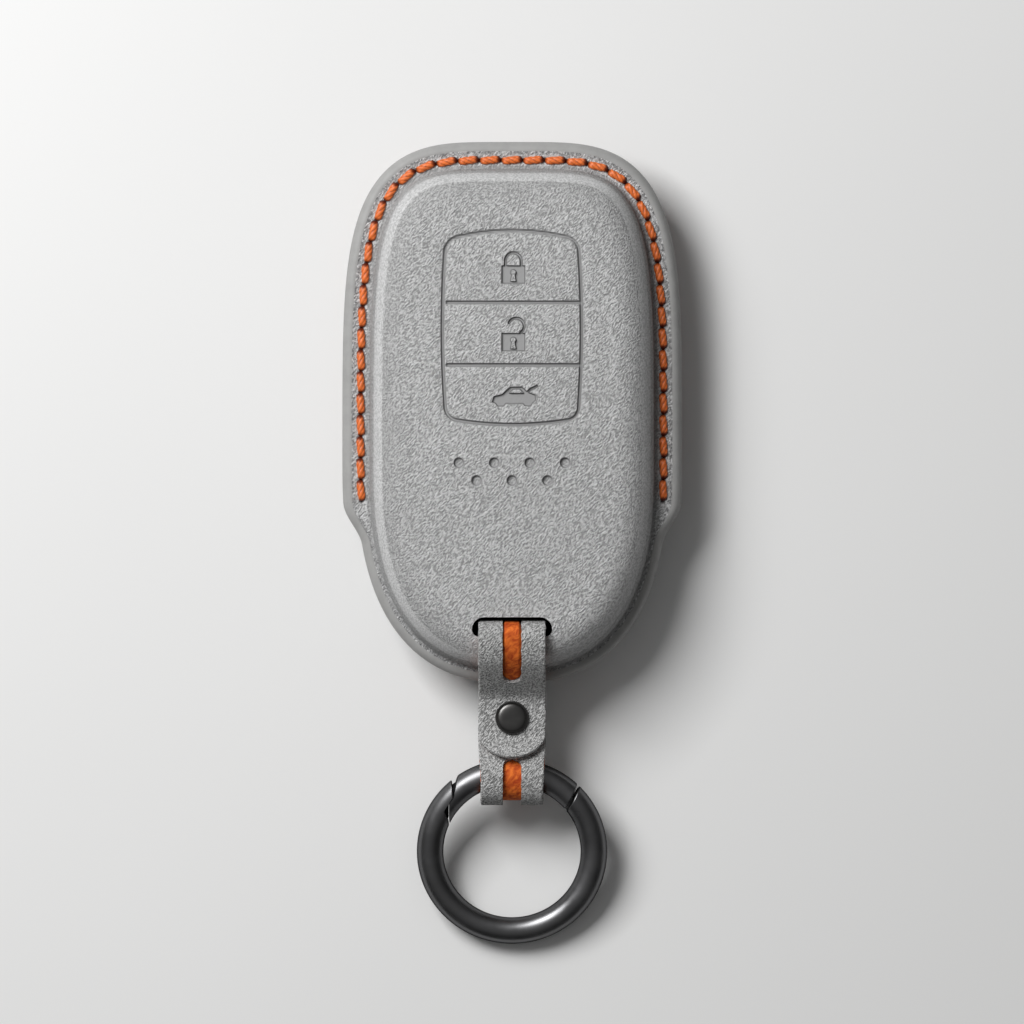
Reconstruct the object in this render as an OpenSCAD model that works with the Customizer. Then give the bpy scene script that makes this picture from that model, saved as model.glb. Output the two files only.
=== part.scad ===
// Key fob cover: a suede pouch moulded in two domed halves, sewn round its upper part,
// with a folded strap through two slots, a screw stud and a sprung gate ring.
// The case lies on its back on the plane z = 0, its front up and its ring end towards -Y.

/* [Case outline] */
// Half width of the dome at its foot
dome_half_w = 21.3; // [19:0.1:24]
// Length of the dome foot above its widest line
dome_up = 44.2; // [40:0.1:48]
// Length of the dome foot below its widest line
dome_down = 30.8; // [28:0.1:34]
// Widest line, measured down from the middle of the case
wide_drop = 7.8; // [6:0.1:10]
// Squareness of the outline above the widest line
upper_square = 4.5; // [3.5:0.1:5.5]
// Squareness of the outline below the widest line
lower_square = 2.5; // [2.2:0.1:3]
// Width of the sewn flange round the dome
flange_w = 4.15; // [3.6:0.05:5]
// Width of the open lip at the mouth
lip_w = 2.0; // [1.8:0.05:2.6]
// Level where the seam ends, measured down from the middle of the case
seam_end_drop = 13.3; // [11:0.1:16]
// Length over which the flange narrows to the lip
narrow_len = 6.2; // [5:0.1:8]

/* [Case shells] */
// Thickness of the suede cover
cover_t = 0.8; // [0.7:0.05:1]
// Thickness of the lining
lining_t = 0.7; // [0.6:0.05:0.9]
// Height of the dome wall above its flange
dome_h = 7.1; // [6.5:0.1:8]
// Run of the rounded shoulder, from the foot to the top
shoulder_run = 6.5; // [6:0.1:7.5]
// Squareness of the shoulder
shoulder_square = 2.4; // [2.1:0.1:2.8]
// Swell of the front above its shoulder
front_crown = 0.6; // [0.4:0.05:0.8]
// Swell of the back, pressed flat in use
back_crown = 0.25; // [0.2:0.05:0.3]
// Small radius where the dome wall meets the flange
foot_r = 0.5; // [0.4:0.05:0.6]
// Width of the rounded and painted edge
edge_w = 1.25; // [1:0.05:1.4]
// Opening between the unsewn lips
mouth_gap = 0.4; // [0.3:0.05:0.6]
// Film of glue between cover and lining
glue_gap = 0.05; // [0.03:0.01:0.08]

/* [Button panel] */
// Half width of the panel outline
panel_half_w = 10.45; // [9:0.05:11.5]
// Half height of the panel outline
panel_half_h = 14.55; // [13:0.05:16]
// Middle of the panel above the middle of the case
panel_mid = 12.6; // [11:0.1:14]
// Squareness of the panel outline
panel_square = 6; // [4:0.5:8]
// Width of the pressed grooves
groove_w = 0.6; // [0.5:0.05:0.8]
// Depth of the pressed grooves
groove_depth = 0.3; // [0.2:0.05:0.35]
// Radius of a pressed dot
dot_r = 0.72; // [0.6:0.02:0.85]
// Spacing of the dots
dot_pitch = 5.3; // [4.8:0.1:6]
// First row of dots, measured down from the middle of the case
dot_drop = 7.6; // [7:0.1:9]
// Distance between the two rows of dots
dot_row_gap = 2.65; // [2.2:0.05:3]

/* [Seam] */
// Distance from the edge of the flange to the seam
seam_inset = 2.75; // [2.4:0.05:3]
// Length of one stitch with its gap
stitch_pitch = 3.2; // [2.8:0.1:3.6]
// Length of the thread seen in one stitch
stitch_len = 2.7; // [2.3:0.05:2.75]
// Thickness of the thread in a stitch
stitch_d = 1.3; // [1:0.05:1.4]

/* [Strap] */
// Width of the strap
strap_w = 10.05; // [9:0.05:11]
// Thickness of its suede face
strap_face_t = 0.7; // [0.6:0.05:0.75]
// Thickness of its lining
strap_lining_t = 0.7; // [0.6:0.05:0.75]
// Radius of the round end of the tab
tab_end_r = 5.2; // [5.1:0.05:6]
// Distance from the foot of the case to the stud
stud_reach = 7.2; // [6.8:0.1:8]
// Distance from the stud to the axis of the strap's fold
fold_reach = 8.7; // [8.4:0.1:9.5]
// Distance from the stud to the tip of the tab
tab_reach = 6.2; // [5.8:0.1:6.6]
// Depth of the strap's fold below the middle of the case
tail_drop = 1.1; // [0.8:0.1:1.4]
// Width of the long slits in the strap's face
slit_w = 2.8; // [2.2:0.1:3.2]
// Length of the case slots, across the strap
slot_w = 12; // [11.4:0.1:13]
// Width of the case slots, along the strap
slot_gape = 2.9; // [2.7:0.05:3.2]
// Distance from the foot of the dome to the front slot
slot_in = 5.0; // [4.8:0.1:5.5]

/* [Stud] */
// Radius of the stud heads
head_r = 2.5; // [2.2:0.05:2.7]
// Height of the front head
head_h = 1.1; // [0.9:0.05:1.4]
// Thickness of the rear head
rear_head_h = 0.8; // [0.6:0.05:1]
// Radius of the barrel
barrel_r = 1.5; // [1.3:0.05:1.7]
// Radius of the screw
screw_r = 0.9; // [0.8:0.05:1]

/* [Ring] */
// Radius of the ring to the middle of its tube
ring_r = 12.3; // [11.5:0.1:13.5]
// Radius of the tube
tube_r = 2.0; // [1.8:0.05:2.1]
// Place of the straight joint on the ring, in degrees
joint_at = 43; // [41:0.5:45]
// Lean of the straight joint, in degrees
joint_lean = 68.3; // [66:0.5:72]
// Gap in the straight joint of the ring
joint_gap = 0.35; // [0.32:0.01:0.4]
// Clearance at the gate's free end as it swings past the lap joint
lap_play = 0.15; // [0.12:0.01:0.2]
// Radius of the gate pin
pin_r = 0.5; // [0.45:0.01:0.55]
// Width of the fork for the gate's tongue
fork_w = 2.2; // [2:0.05:2.4]
// Radius of the wire of the gate spring
wire_r = 0.12; // [0.1:0.01:0.13]

/* [Hidden] */

// Overrun of every cut beyond the solid that it cuts
over = 1;

// Steps of the outline in a lower and an upper quarter, and of the shoulder
low_steps = 17;
up_steps = 15;
outer_steps = 6;
inner_steps = 4;

// Levels of the case
stack_t = cover_t + lining_t;
flat_cut = 0.02;
mid_z = stack_t + dome_h + back_crown - flat_cut;
foot_y = -(wide_drop + dome_down);
crown_y = (dome_up - dome_down) / 2 - wide_drop;
outer_shares = [0.33, 0.66];
inner_shares = [0.66];
lift_h = dome_h / 2;

// Levels and places of the strap
strap_t = strap_face_t + strap_lining_t;
leg_gap = 0.1;
ride_gap = 0.25;
fold_z = mid_z - tail_drop;
back_leg_z = fold_z - (leg_gap + strap_t) / 2;
return_leg_z = fold_z + (leg_gap + strap_t) / 2;
tab_z = return_leg_z + strap_t + leg_gap;
stud_y = foot_y - stud_reach;
fold_y = stud_y - fold_reach;

// The ring hangs in the fold with the middle of its curved gate on the fold's axis
gate_half = strap_w / 2;
gate_bow = ring_r - sqrt(ring_r * ring_r - gate_half * gate_half);
ring_hang = ring_r - gate_bow / 2;
fold_clear = 0.2;
fold_relief = 0.06;
fold_r = tube_r + gate_bow / 2 + fold_clear;
fold_mid_r = fold_r + strap_t / 2;
ring_tilt = asin((fold_z - tube_r) / (ring_hang + ring_r));
ring_y = fold_y - ring_hang * cos(ring_tilt);
ring_z = fold_z - ring_hang * sin(ring_tilt);

// Places in the plane of the ring
joint_dir = [cos(joint_lean), sin(joint_lean)];
joint_out = [sin(joint_lean), -cos(joint_lean)];
joint_pt = ring_r * [cos(joint_at), sin(joint_at)];
pin_at = 32.6;
pin_in = 0.7;
pin_pt = (ring_r - pin_in) * [cos(pin_at), sin(pin_at)];
tongue_r = 1.05;
tongue_t = 0.85;
pin_fit = 0.02;
pin_run = 0.05;

// The body's side of the lap joint: its face outside, the tip and root of its finger, its heel inside
lap_angles = [129.2, 134.8, 144.8, 155.9];
lap_shares = [1, 0.09, -0.04, -1];

// The gate's side: two arcs about the pin, with a step under the finger
function polar(r, angle) = r * [cos(angle), sin(angle)];
function turn_of(p) = (atan2(p[1], p[0]) + 360) % 360;
lap_pts = [for (i = [0 : 3]) polar(ring_r + lap_shares[i] * tube_r, lap_angles[i])];
lap_reach = [for (p = lap_pts) norm(p - pin_pt)];
lap_turn = [for (p = lap_pts) turn_of(p - pin_pt)];
outer_reach = lap_reach[1] - lap_play;
inner_reach = lap_reach[3] - lap_play;
finger_slope = (lap_turn[2] - lap_turn[1]) / (lap_reach[2] - lap_reach[1]);
finger_clear = 1.6;
function under_finger(reach) = lap_turn[1] + (reach - lap_reach[1]) * finger_slope + finger_clear;

// Smooth step from 0 to 1
function ease(t) = let (c = min(1, max(0, t))) c * c * (3 - 2 * c);

// Outline of the dome's foot: each entry is a point and its outward direction
function unit(v) = v / norm(v);
function foot_entry(x, y, length, square) = [
    [x, y - wide_drop],
    unit([pow(x / dome_half_w, square - 1) / dome_half_w,
          sign(y) * pow(abs(y) / length, square - 1) / length])];
function lower_entry(angle) =
    let (reach = pow(pow(cos(angle) / dome_half_w, lower_square)
                     + pow(sin(angle) / dome_down, lower_square), -1 / lower_square))
    foot_entry(max(0, reach * cos(angle)), -reach * sin(angle), dome_down, lower_square);
function upper_entry(angle) =
    foot_entry(dome_half_w * pow(cos(angle), 2 / upper_square),
               dome_up * pow(sin(angle), 2 / upper_square), dome_up, upper_square);
right_foot = concat(
    [[[0, foot_y], [0, -1]]],
    [for (i = [low_steps - 1 : -1 : 1]) lower_entry(90 * i / low_steps)],
    [for (i = [0 : up_steps - 1]) upper_entry(90 * i / up_steps)],
    [[[0, dome_up - wide_drop], [0, 1]]]);
last_right = len(right_foot) - 1;
foot = concat(
    right_foot,
    [for (i = [last_right - 1 : -1 : 1])
        [[-right_foot[i][0][0], right_foot[i][0][1]], [-right_foot[i][1][0], right_foot[i][1][1]]]]);
around = len(foot);

// Sewn share of the flange at a height on the case, 1 at the seam and 0 at the lip
function sewn(y) = ease((y + seam_end_drop + narrow_len) / narrow_len);
function rim_w(y) = lip_w + (flange_w - lip_w) * sewn(y);

// A ring of a shell is [share of the flange width, offset from the foot, height, shrink]
function ring_point(entry, ring, base) =
    let (out = entry[0] + entry[1] * (ring[0] * rim_w(entry[0][1]) + ring[1]),
         flat = [0, crown_y] + ring[3] * (out - [0, crown_y]),
         lift = (1 - sewn(entry[0][1])) * max(0, 1 - (ring[2] - base) / lift_h))
    [flat[0], flat[1], ring[2] + lift * mouth_gap / 2];

// Height of the flange face that lies at a depth below the outer face, above the mid plane
function face_z(depth) = stack_t - depth;

// Rings of one face of the shell, from the crown out to the flange
function face_rings(depth, crown, steps, shares) = concat(
    [for (s = shares)
        let (swell = min(front_crown * (1 - s * s), crown))
        [0, -shoulder_run, face_z(depth) + dome_h + swell, s]],
    [for (i = [steps : -1 : 1])
        let (angle = 90 * i / steps)
        [0, -depth - (shoulder_run - depth) * (1 - pow(cos(angle), 2 / shoulder_square)),
         face_z(depth) + dome_h * pow(sin(angle), 2 / shoulder_square), 1]],
    [for (angle = [0, 45, 90])
        [0, foot_r - (foot_r + depth) * cos(angle), stack_t + foot_r - (foot_r + depth) * sin(angle), 1]]);

// Rings of the rounded edge between two depths of the stack
function edge_rings(from_depth, to_depth, steps) =
    let (a = asin(min(1, face_z(from_depth) / stack_t)), b = asin(face_z(to_depth) / stack_t))
    [for (i = [0 : steps])
        let (angle = a + (b - a) * i / steps)
        [1, -edge_w * (1 - cos(angle)), stack_t * sin(angle), 1]];

// One ply of a dome, as a closed skin between two depths
module ply(from_depth, to_depth, crown, steps, shares, edge_steps) {
    under = face_rings(to_depth, crown, inner_steps, inner_shares);
    rings = concat(
        face_rings(from_depth, crown, steps, shares),
        edge_rings(from_depth, to_depth, edge_steps),
        [for (r = [len(under) - 1 : -1 : 0]) under[r]]);
    count = len(rings);
    points = concat(
        [[0, crown_y, face_z(from_depth) + dome_h + crown]],
        [for (ring = rings) for (entry = foot) ring_point(entry, ring, 0)],
        [[0, crown_y, face_z(to_depth) + dome_h + crown]]);
    last = len(points) - 1;
    faces = concat(
        [for (k = [0 : around - 1]) [0, 1 + (k + 1) % around, 1 + k]],
        [for (r = [0 : count - 2]) for (k = [0 : around - 1])
            [1 + r * around + k, 1 + r * around + (k + 1) % around,
             1 + (r + 1) * around + (k + 1) % around]],
        [for (r = [0 : count - 2]) for (k = [0 : around - 1])
            [1 + r * around + k, 1 + (r + 1) * around + (k + 1) % around,
             1 + (r + 1) * around + k]],
        [for (k = [0 : around - 1])
            [last, 1 + (count - 1) * around + k, 1 + (count - 1) * around + (k + 1) % around]]);
    polyhedron(points, faces);
}

// Closed block under the crown, used to cut grooves of even depth
module crown_block(drop) {
    rings = concat(
        [[0, -shoulder_run, dome_h, 1]],
        [for (i = [len(outer_shares) - 1 : -1 : 0])
            let (s = outer_shares[i]) [0, -shoulder_run, dome_h + front_crown * (1 - s * s), s]]);
    count = len(rings);
    base_z = stack_t - drop;
    points = concat(
        [[0, crown_y, 0]],
        [for (entry = foot) let (p = ring_point(entry, rings[0], 0)) [p[0], p[1], 0]],
        [for (ring = rings) for (entry = foot)
            let (p = ring_point(entry, ring, 0)) [p[0], p[1], ring[2] + base_z]],
        [[0, crown_y, dome_h + front_crown + base_z]]);
    last = len(points) - 1;
    faces = concat(
        [for (k = [0 : around - 1]) [0, 1 + k, 1 + (k + 1) % around]],
        [for (r = [0 : count - 1]) for (k = [0 : around - 1])
            [1 + r * around + k, 1 + (r + 1) * around + k,
             1 + (r + 1) * around + (k + 1) % around]],
        [for (r = [0 : count - 1]) for (k = [0 : around - 1])
            [1 + r * around + k, 1 + (r + 1) * around + (k + 1) % around,
             1 + r * around + (k + 1) % around]],
        [for (k = [0 : around - 1])
            [last, 1 + count * around + (k + 1) % around, 1 + count * around + k]]);
    polyhedron(points, faces);
}

module front_side() {
    translate([0, 0, mid_z])
        children();
}

module back_side() {
    translate([0, 0, mid_z])
        mirror([0, 0, 1])
            children();
}

// Rounded slot outline, its upper and lower corners of different radius
function arc(middle, r, from, to, steps) =
    [for (i = [0 : steps]) let (a = from + (to - from) * i / steps) middle + r * [cos(a), sin(a)]];
function slot_outline(half, top, bottom, top_r, low_r) = concat(
    arc([half - top_r, top - top_r], top_r, 0, 90, 6),
    arc([top_r - half, top - top_r], top_r, 90, 180, 6),
    arc([low_r - half, bottom + low_r], low_r, 180, 270, 8),
    arc([half - low_r, bottom + low_r], low_r, 270, 360, 8));

// Opening for the strap in the front, near the foot of the dome
front_slot_low = foot_y + slot_in;
module front_slot() {
    linear_extrude(height = stack_t + dome_h + over)
        polygon(slot_outline(slot_w / 2, front_slot_low + slot_gape, front_slot_low,
                             slot_gape * 0.4, slot_gape * 0.6));
}

// Squared oval
function squared_oval(half_w, half_h, square, steps) =
    [for (i = [0 : steps - 1])
        let (a = 360 * i / steps)
        [half_w * sign(cos(a)) * pow(abs(cos(a)), 2 / square),
         half_h * sign(sin(a)) * pow(abs(sin(a)), 2 / square)]];

// Grooves that mark the three pads of the button panel
bar_shares = [-0.39, 0.25];
module panel_grooves() {
    difference() {
        squared_panel(0);
        difference() {
            squared_panel(groove_w);
            for (share = bar_shares)
                translate([-panel_half_w, share * panel_half_h - groove_w / 2])
                    square([2 * panel_half_w, groove_w]);
        }
    }
}
module squared_panel(inset) {
    polygon(squared_oval(panel_half_w - inset, panel_half_h - inset, panel_square, 40));
}

// Seven blind dots in two staggered rows
module dots() {
    for (k = [0 : 3])
        translate([(k - 1.5) * dot_pitch, -dot_drop])
            circle(r = dot_r, $fn = 24);
    for (k = [0 : 2])
        translate([(k - 1) * dot_pitch, -dot_drop - dot_row_gap])
            circle(r = dot_r, $fn = 24);
}

module front_cover() {
    color([0.62, 0.62, 0.64])
        front_side()
            difference() {
                ply(0, cover_t, front_crown, outer_steps, outer_shares, 3);
                front_slot();
                difference() {
                    linear_extrude(height = stack_t + dome_h + over) {
                        translate([0, panel_mid])
                            panel_grooves();
                        dots();
                    }
                    crown_block(groove_depth);
                }
            }
}

module front_lining() {
    color([0.2, 0.2, 0.21])
        front_side()
            difference() {
                ply(cover_t + glue_gap, stack_t, front_crown, inner_steps, inner_shares, 1);
                front_slot();
            }
}

module back_cover() {
    color([0.6, 0.6, 0.62])
        difference() {
            back_side()
                ply(0, cover_t, back_crown, outer_steps, outer_shares, 3);
            translate([-dome_half_w, foot_y, -over])
                cube([2 * dome_half_w, dome_up + dome_down, over]);
            back_slot();
        }
}

module back_lining() {
    color([0.2, 0.2, 0.21])
        difference() {
            back_side()
                ply(cover_t + glue_gap, stack_t, back_crown, inner_steps, inner_shares, 1);
            back_slot();
        }
}

// Opening for the strap in the back, square to the lower shoulder
back_slot_lean = 25;
back_slot_y = foot_y + shoulder_run * 0.28;
back_slot_z = mid_z - stack_t - dome_h * 0.77;
back_slot_gape = strap_t * 1.75;
module back_slot() {
    translate([0, back_slot_y, back_slot_z])
        rotate([back_slot_lean, 0, 0])
            translate([0, stack_t * 2.6, 0])
                rotate([90, 0, 0])
                    linear_extrude(height = stack_t * 4.2)
                        polygon(slot_outline(slot_w / 2, back_slot_gape / 2, -back_slot_gape / 2,
                                             back_slot_gape * 0.48, back_slot_gape * 0.48));
}

// Path of the seam, along the flange from one end of the stitching to the other
function seam_at(entry) = entry[0] + entry[1] * (flange_w - seam_inset);
sewn_foot = [for (entry = right_foot) if (entry[0][1] > -seam_end_drop) entry];
right_seam = concat([[seam_at(sewn_foot[0])[0], -seam_end_drop]],
    [for (entry = sewn_foot) seam_at(entry)]);
full_seam = concat(right_seam,
    [for (i = [len(right_seam) - 2 : -1 : 0]) [-right_seam[i][0], right_seam[i][1]]]);
function run_to(path, i) = i == 0 ? 0 : run_to(path, i - 1) + norm(path[i] - path[i - 1]);
seam_runs = [for (i = [0 : len(full_seam) - 1]) run_to(full_seam, i)];
seam_len = seam_runs[len(seam_runs) - 1];
stitch_count = floor(seam_len / stitch_pitch);
function seam_point(s) =
    [lookup(s, [for (i = [0 : len(full_seam) - 1]) [seam_runs[i], full_seam[i][0]]]),
     lookup(s, [for (i = [0 : len(full_seam) - 1]) [seam_runs[i], full_seam[i][1]]])];

// One plump stitch lying on the flange: rounded in plan and in profile
function half_oval(half_w, height, steps) =
    [for (i = [0 : steps]) let (a = 180 * i / steps) [half_w * cos(a), height * sin(a)]];
module stitch() {
    plan = half_oval(stitch_len / 2, stitch_d / 2, 7);
    intersection() {
        linear_extrude(height = stitch_d)
            polygon(concat(plan, [for (p = plan) if (abs(p[1]) > 0.01 * stitch_d) -p]));
        translate([0, stitch_d, 0])
            rotate([90, 0, 0])
                linear_extrude(height = 2 * stitch_d)
                    polygon(half_oval(stitch_len / 2 + stitch_d * 0.2, stitch_d / 2, 6));
    }
}

module stitches() {
    step = seam_len / stitch_count;
    for (i = [0 : stitch_count - 1]) {
        a = seam_point((i + 0.25) * step);
        b = seam_point((i + 0.75) * step);
        middle = seam_point((i + 0.5) * step);
        translate([middle[0], middle[1], stack_t])
            rotate([0, 0, atan2(b[1] - a[1], b[0] - a[0])])
                stitch();
    }
}

module needle_thread() {
    color([0.86, 0.38, 0.16])
        front_side()
            stitches();
}

module bobbin_thread() {
    color([0.86, 0.38, 0.16])
        back_side()
            stitches();
}

// Point of the dome's outer face on the centre line, and its outward direction
function dome_point(angle) =
    [foot_y + shoulder_run * (1 - pow(cos(angle), 2 / shoulder_square)),
     mid_z + stack_t + dome_h * pow(sin(angle), 2 / shoulder_square)];
function dome_out(angle) =
    unit([-pow(cos(angle), 2 - 2 / shoulder_square) / shoulder_run,
          pow(sin(angle), 2 - 2 / shoulder_square) / dome_h]);
function over_dome(angle) = dome_point(angle) + dome_out(angle) * (strap_t / 2 + ride_gap);

// Smooth curve through hand-set points
function spline(a, b, c, d, t) =
    0.5 * (2 * b + (c - a) * t + (2 * a - 5 * b + 4 * c - d) * t * t
           + (3 * b - a - 3 * c + d) * t * t * t);
function smooth_path(points, steps) = concat(
    [for (i = [0 : len(points) - 2]) for (k = [0 : steps - 1])
        spline(points[max(0, i - 1)], points[i], points[i + 1],
               points[min(len(points) - 1, i + 2)], k / steps)],
    [points[len(points) - 1]]);

// Offset of a path to its left
function left_of(path, i) =
    let (a = path[max(0, i - 1)], b = path[min(len(path) - 1, i + 1)], d = unit(b - a))
    [-d[1], d[0]];
function shifted(path, by) = [for (i = [0 : len(path) - 1]) path[i] + by * left_of(path, i)];
function band(path, low, high) =
    let (upper = shifted(path, high), lower = shifted(path, low))
    concat(upper, [for (i = [len(lower) - 1 : -1 : 0]) lower[i]]);

// Where the two legs part from each other and run on to the fold
part_y = fold_y + fold_mid_r * 1.45;
leg_rise = return_leg_z - fold_z;
leg_far = norm([part_y - fold_y, leg_rise]);
leg_slope = asin(fold_mid_r / leg_far) - atan(leg_rise / (part_y - fold_y));
leg_run = sqrt(leg_far * leg_far - fold_mid_r * fold_mid_r);
leg_dir = [-cos(leg_slope), sin(leg_slope)];
leg_left = [sin(leg_slope), cos(leg_slope)];
top_touch = [part_y, return_leg_z] + leg_dir * leg_run;
low_touch = [top_touch[0], 2 * fold_z - top_touch[1]];

// The tab lies on the return leg, up to its tip
tab_lift = strap_t + leg_gap;
tab_part = [part_y + tab_lift * tan(leg_slope / 2), tab_z];
tab_tip_y = stud_y - tab_reach;
tab_end = tab_part + leg_dir * ((tab_part[0] - tab_tip_y) / cos(leg_slope) + over);

slot_mid_y = front_slot_low + slot_gape * 0.55;
front_top_z = mid_z + stack_t + dome_h;
head_flat = head_r + leg_gap;
tab_path = [tab_end, tab_part + leg_dir * strap_t * 0.6, tab_part + [strap_t * 0.35, 0]];
front_path = [[stud_y - head_r * 0.6, tab_z], [stud_y, tab_z], [stud_y + head_flat, tab_z],
    [foot_y - lip_w - strap_t * 1.1, tab_z + strap_t * 0.35],
    [foot_y - lip_w - strap_t * 0.1, tab_z + strap_t * 1.5],
    over_dome(40), over_dome(58), [front_slot_low - strap_t * 0.3, front_top_z + strap_t * 0.66],
    [slot_mid_y - strap_t * 0.35, front_top_z + strap_t * 0.3],
    [slot_mid_y + strap_t * 0.02, front_top_z - stack_t * 0.55],
    [slot_mid_y + strap_t * 0.2, front_top_z - stack_t * 1.9],
    [slot_mid_y + strap_t * 0.2, mid_z], [slot_mid_y - strap_t * 0.3, mid_z - dome_h * 0.45],
    [back_slot_y + strap_t * 1.9, back_slot_z + strap_t * 1.2],
    [back_slot_y, back_slot_z],
    [foot_y - strap_t * 0.1, back_slot_z - strap_t * 0.2],
    [foot_y - strap_t * 0.85, back_slot_z + strap_t * 0.75],
    [foot_y - strap_t * 1.2, mid_z - dome_h * 0.55],
    [foot_y - lip_w - strap_t * 0.5, back_leg_z - strap_t * 0.55],
    [foot_y - lip_w - strap_t * 1.1, back_leg_z - strap_t * 0.08],
    [stud_y + head_flat, back_leg_z], [stud_y, back_leg_z], [stud_y - head_r * 0.6, back_leg_z]];
part_low = [part_y, 2 * fold_z - return_leg_z];
leg_dir_low = [leg_dir[0], -leg_dir[1]];
back_path = [part_low + [strap_t * 0.35, 0], part_low + leg_dir_low * strap_t * 0.6, low_touch];
fold_lean = atan2(top_touch[1] - fold_z, top_touch[0] - fold_y);
fold_steps = 36;
fold_path = [for (i = [1 : fold_steps - 1])
    let (a = -fold_lean - (360 - 2 * fold_lean) * i / fold_steps)
    [fold_y, fold_z] + fold_mid_r * [cos(a), sin(a)]];
return_path = [top_touch, [part_y, return_leg_z] + leg_dir * strap_t * 0.6,
    [part_y + strap_t * 0.35, return_leg_z], [stud_y, return_leg_z],
    [stud_y + head_flat + strap_t * 0.3, return_leg_z]];
tab_run = concat([tab_end + leg_dir * over],
                 smooth_path(concat(tab_path, [front_path[0], front_path[1]]), 5));
strap_run = concat(smooth_path(concat(tab_path, front_path, back_path), 5), fold_path,
                   smooth_path(return_path, 5));

// A band of the strap between two faces, drawn in the plane across the case
module band_solid(path, low, high, width) {
    translate([-width / 2, 0, 0])
        rotate([90, 0, 90])
            linear_extrude(height = width)
                polygon(band(path, low, high));
}

module stud_hole() {
    translate([0, stud_y, 0])
        cylinder(r = barrel_r + leg_gap, h = front_top_z, $fn = 48);
}

// Corners cut from the tab to leave its round end
module tab_corners() {
    intersection() {
        band_solid(tab_run, -(strap_t + leg_gap) / 2, strap_t * 0.75, strap_w + over);
        translate([0, 0, fold_z])
            linear_extrude(height = front_top_z)
                difference() {
                    translate([-strap_w, tab_tip_y - strap_w])
                        square([2 * strap_w, strap_w + tab_end_r]);
                    translate([0, tab_tip_y + tab_end_r])
                        circle(r = tab_end_r, $fn = 64);
                }
    }
}

// A slit with round ends, from one place on the strap to another
module slit(from_y, to_y, low_z, high_z) {
    translate([0, 0, low_z])
        linear_extrude(height = high_z - low_z)
            polygon(slot_outline(slit_w / 2, to_y, from_y, slit_w * 0.48, slit_w * 0.48));
}

module strap_layer(low, high) {
    difference() {
        band_solid(strap_run, low, high, strap_w);
        stud_hole();
        tab_corners();
    }
}

module strap_face() {
    color([0.55, 0.55, 0.57])
        difference() {
            strap_layer(glue_gap / 2, strap_t / 2);
            slit(foot_y - lip_w * 0.7, front_slot_low + slot_gape + over,
                 mid_z + stack_t, front_top_z + strap_t * 3);
            slit(fold_y - fold_mid_r - strap_t - slit_w, tab_tip_y - leg_gap * 3, 0, front_top_z);
        }
}

module strap_lining() {
    color([0.86, 0.38, 0.16])
        difference() {
            strap_layer(-strap_t / 2, -glue_gap / 2);
            translate([-strap_w, fold_y, fold_z])
                rotate([0, 90, 0])
                    cylinder(r = fold_r + fold_relief, h = 2 * strap_w, $fn = 96);
        }
}

// Head of the stud: a low dome inside a groove and a thin rim
module stud_barrel() {
    thin_rim = head_r * 0.06;
    groove = head_r * 0.1;
    dome_r = head_r - thin_rim - groove;
    dome_start = head_h * 0.35;
    steps = 8;
    color([0.3, 0.3, 0.31])
        translate([0, stud_y, tab_z + strap_t / 2])
            difference() {
                union() {
                    rotate_extrude($fn = 64)
                        polygon(concat(
                            [[0, 0], [head_r, 0], [head_r, head_h * 0.38], [head_r - thin_rim, head_h * 0.42],
                             [head_r - thin_rim, head_h * 0.2], [dome_r, head_h * 0.2]],
                            [for (i = [0 : steps])
                                let (a = 90 * i / steps)
                                [dome_r * cos(a), dome_start + (head_h - dome_start) * sin(a)]]));
                    translate([0, 0, -barrel_len])
                        cylinder(r = barrel_r, h = barrel_len, $fn = 48);
                }
                translate([0, 0, -barrel_len - over])
                    cylinder(r = screw_r + pin_run, h = barrel_len * 0.8 + over, $fn = 32);
            }
}
barrel_len = tab_z - back_leg_z + strap_t - leg_gap;

module stud_screw() {
    slot_depth = rear_head_h * 0.4;
    color([0.3, 0.3, 0.31])
        translate([0, stud_y, back_leg_z - strap_t / 2])
            difference() {
                union() {
                    translate([0, 0, -rear_head_h])
                        cylinder(r1 = head_r - rear_head_h * 0.3, r2 = head_r, h = rear_head_h, $fn = 64);
                    cylinder(r = screw_r, h = barrel_len * 0.7, $fn = 32);
                }
                translate([-head_r, -slot_depth, -rear_head_h])
                    cube([2 * head_r, 2 * slot_depth, slot_depth]);
            }
}

// Frame of the ring: X to the right, Y towards the strap, Z out of its plane
module in_ring() {
    translate([0, ring_y, ring_z])
        rotate([ring_tilt, 0, 0])
            children();
}

module full_ring() {
    rotate_extrude($fn = 96)
        translate([ring_r, 0])
            circle(r = tube_r, $fn = 32);
}

// Regions in the plane of the ring: the gate, and the wider opening for it in the body
wide = tube_r * 1.6;
function gate_span(gap, free_end) = concat(
    [joint_pt + joint_out * gap + joint_dir * wide],
    [for (a = [60 : 20 : 120]) polar(ring_r + wide, a)],
    free_end,
    [for (a = [140, 90]) polar(ring_r - wide, a)],
    [joint_pt + joint_out * gap - joint_dir * wide]);
gate_region = gate_span(0, concat(
    arc(pin_pt, outer_reach, lap_turn[0] - 4, under_finger(outer_reach), 6),
    arc(pin_pt, inner_reach, under_finger(inner_reach), lap_turn[3] + 7, 6)));
gate_opening = gate_span(joint_gap, concat(
    [polar(ring_r + wide, lap_angles[0])], lap_pts, [polar(ring_r - wide, lap_angles[3])]));

module through_ring(region) {
    linear_extrude(height = tube_r * 4, center = true)
        polygon(region);
}

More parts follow.
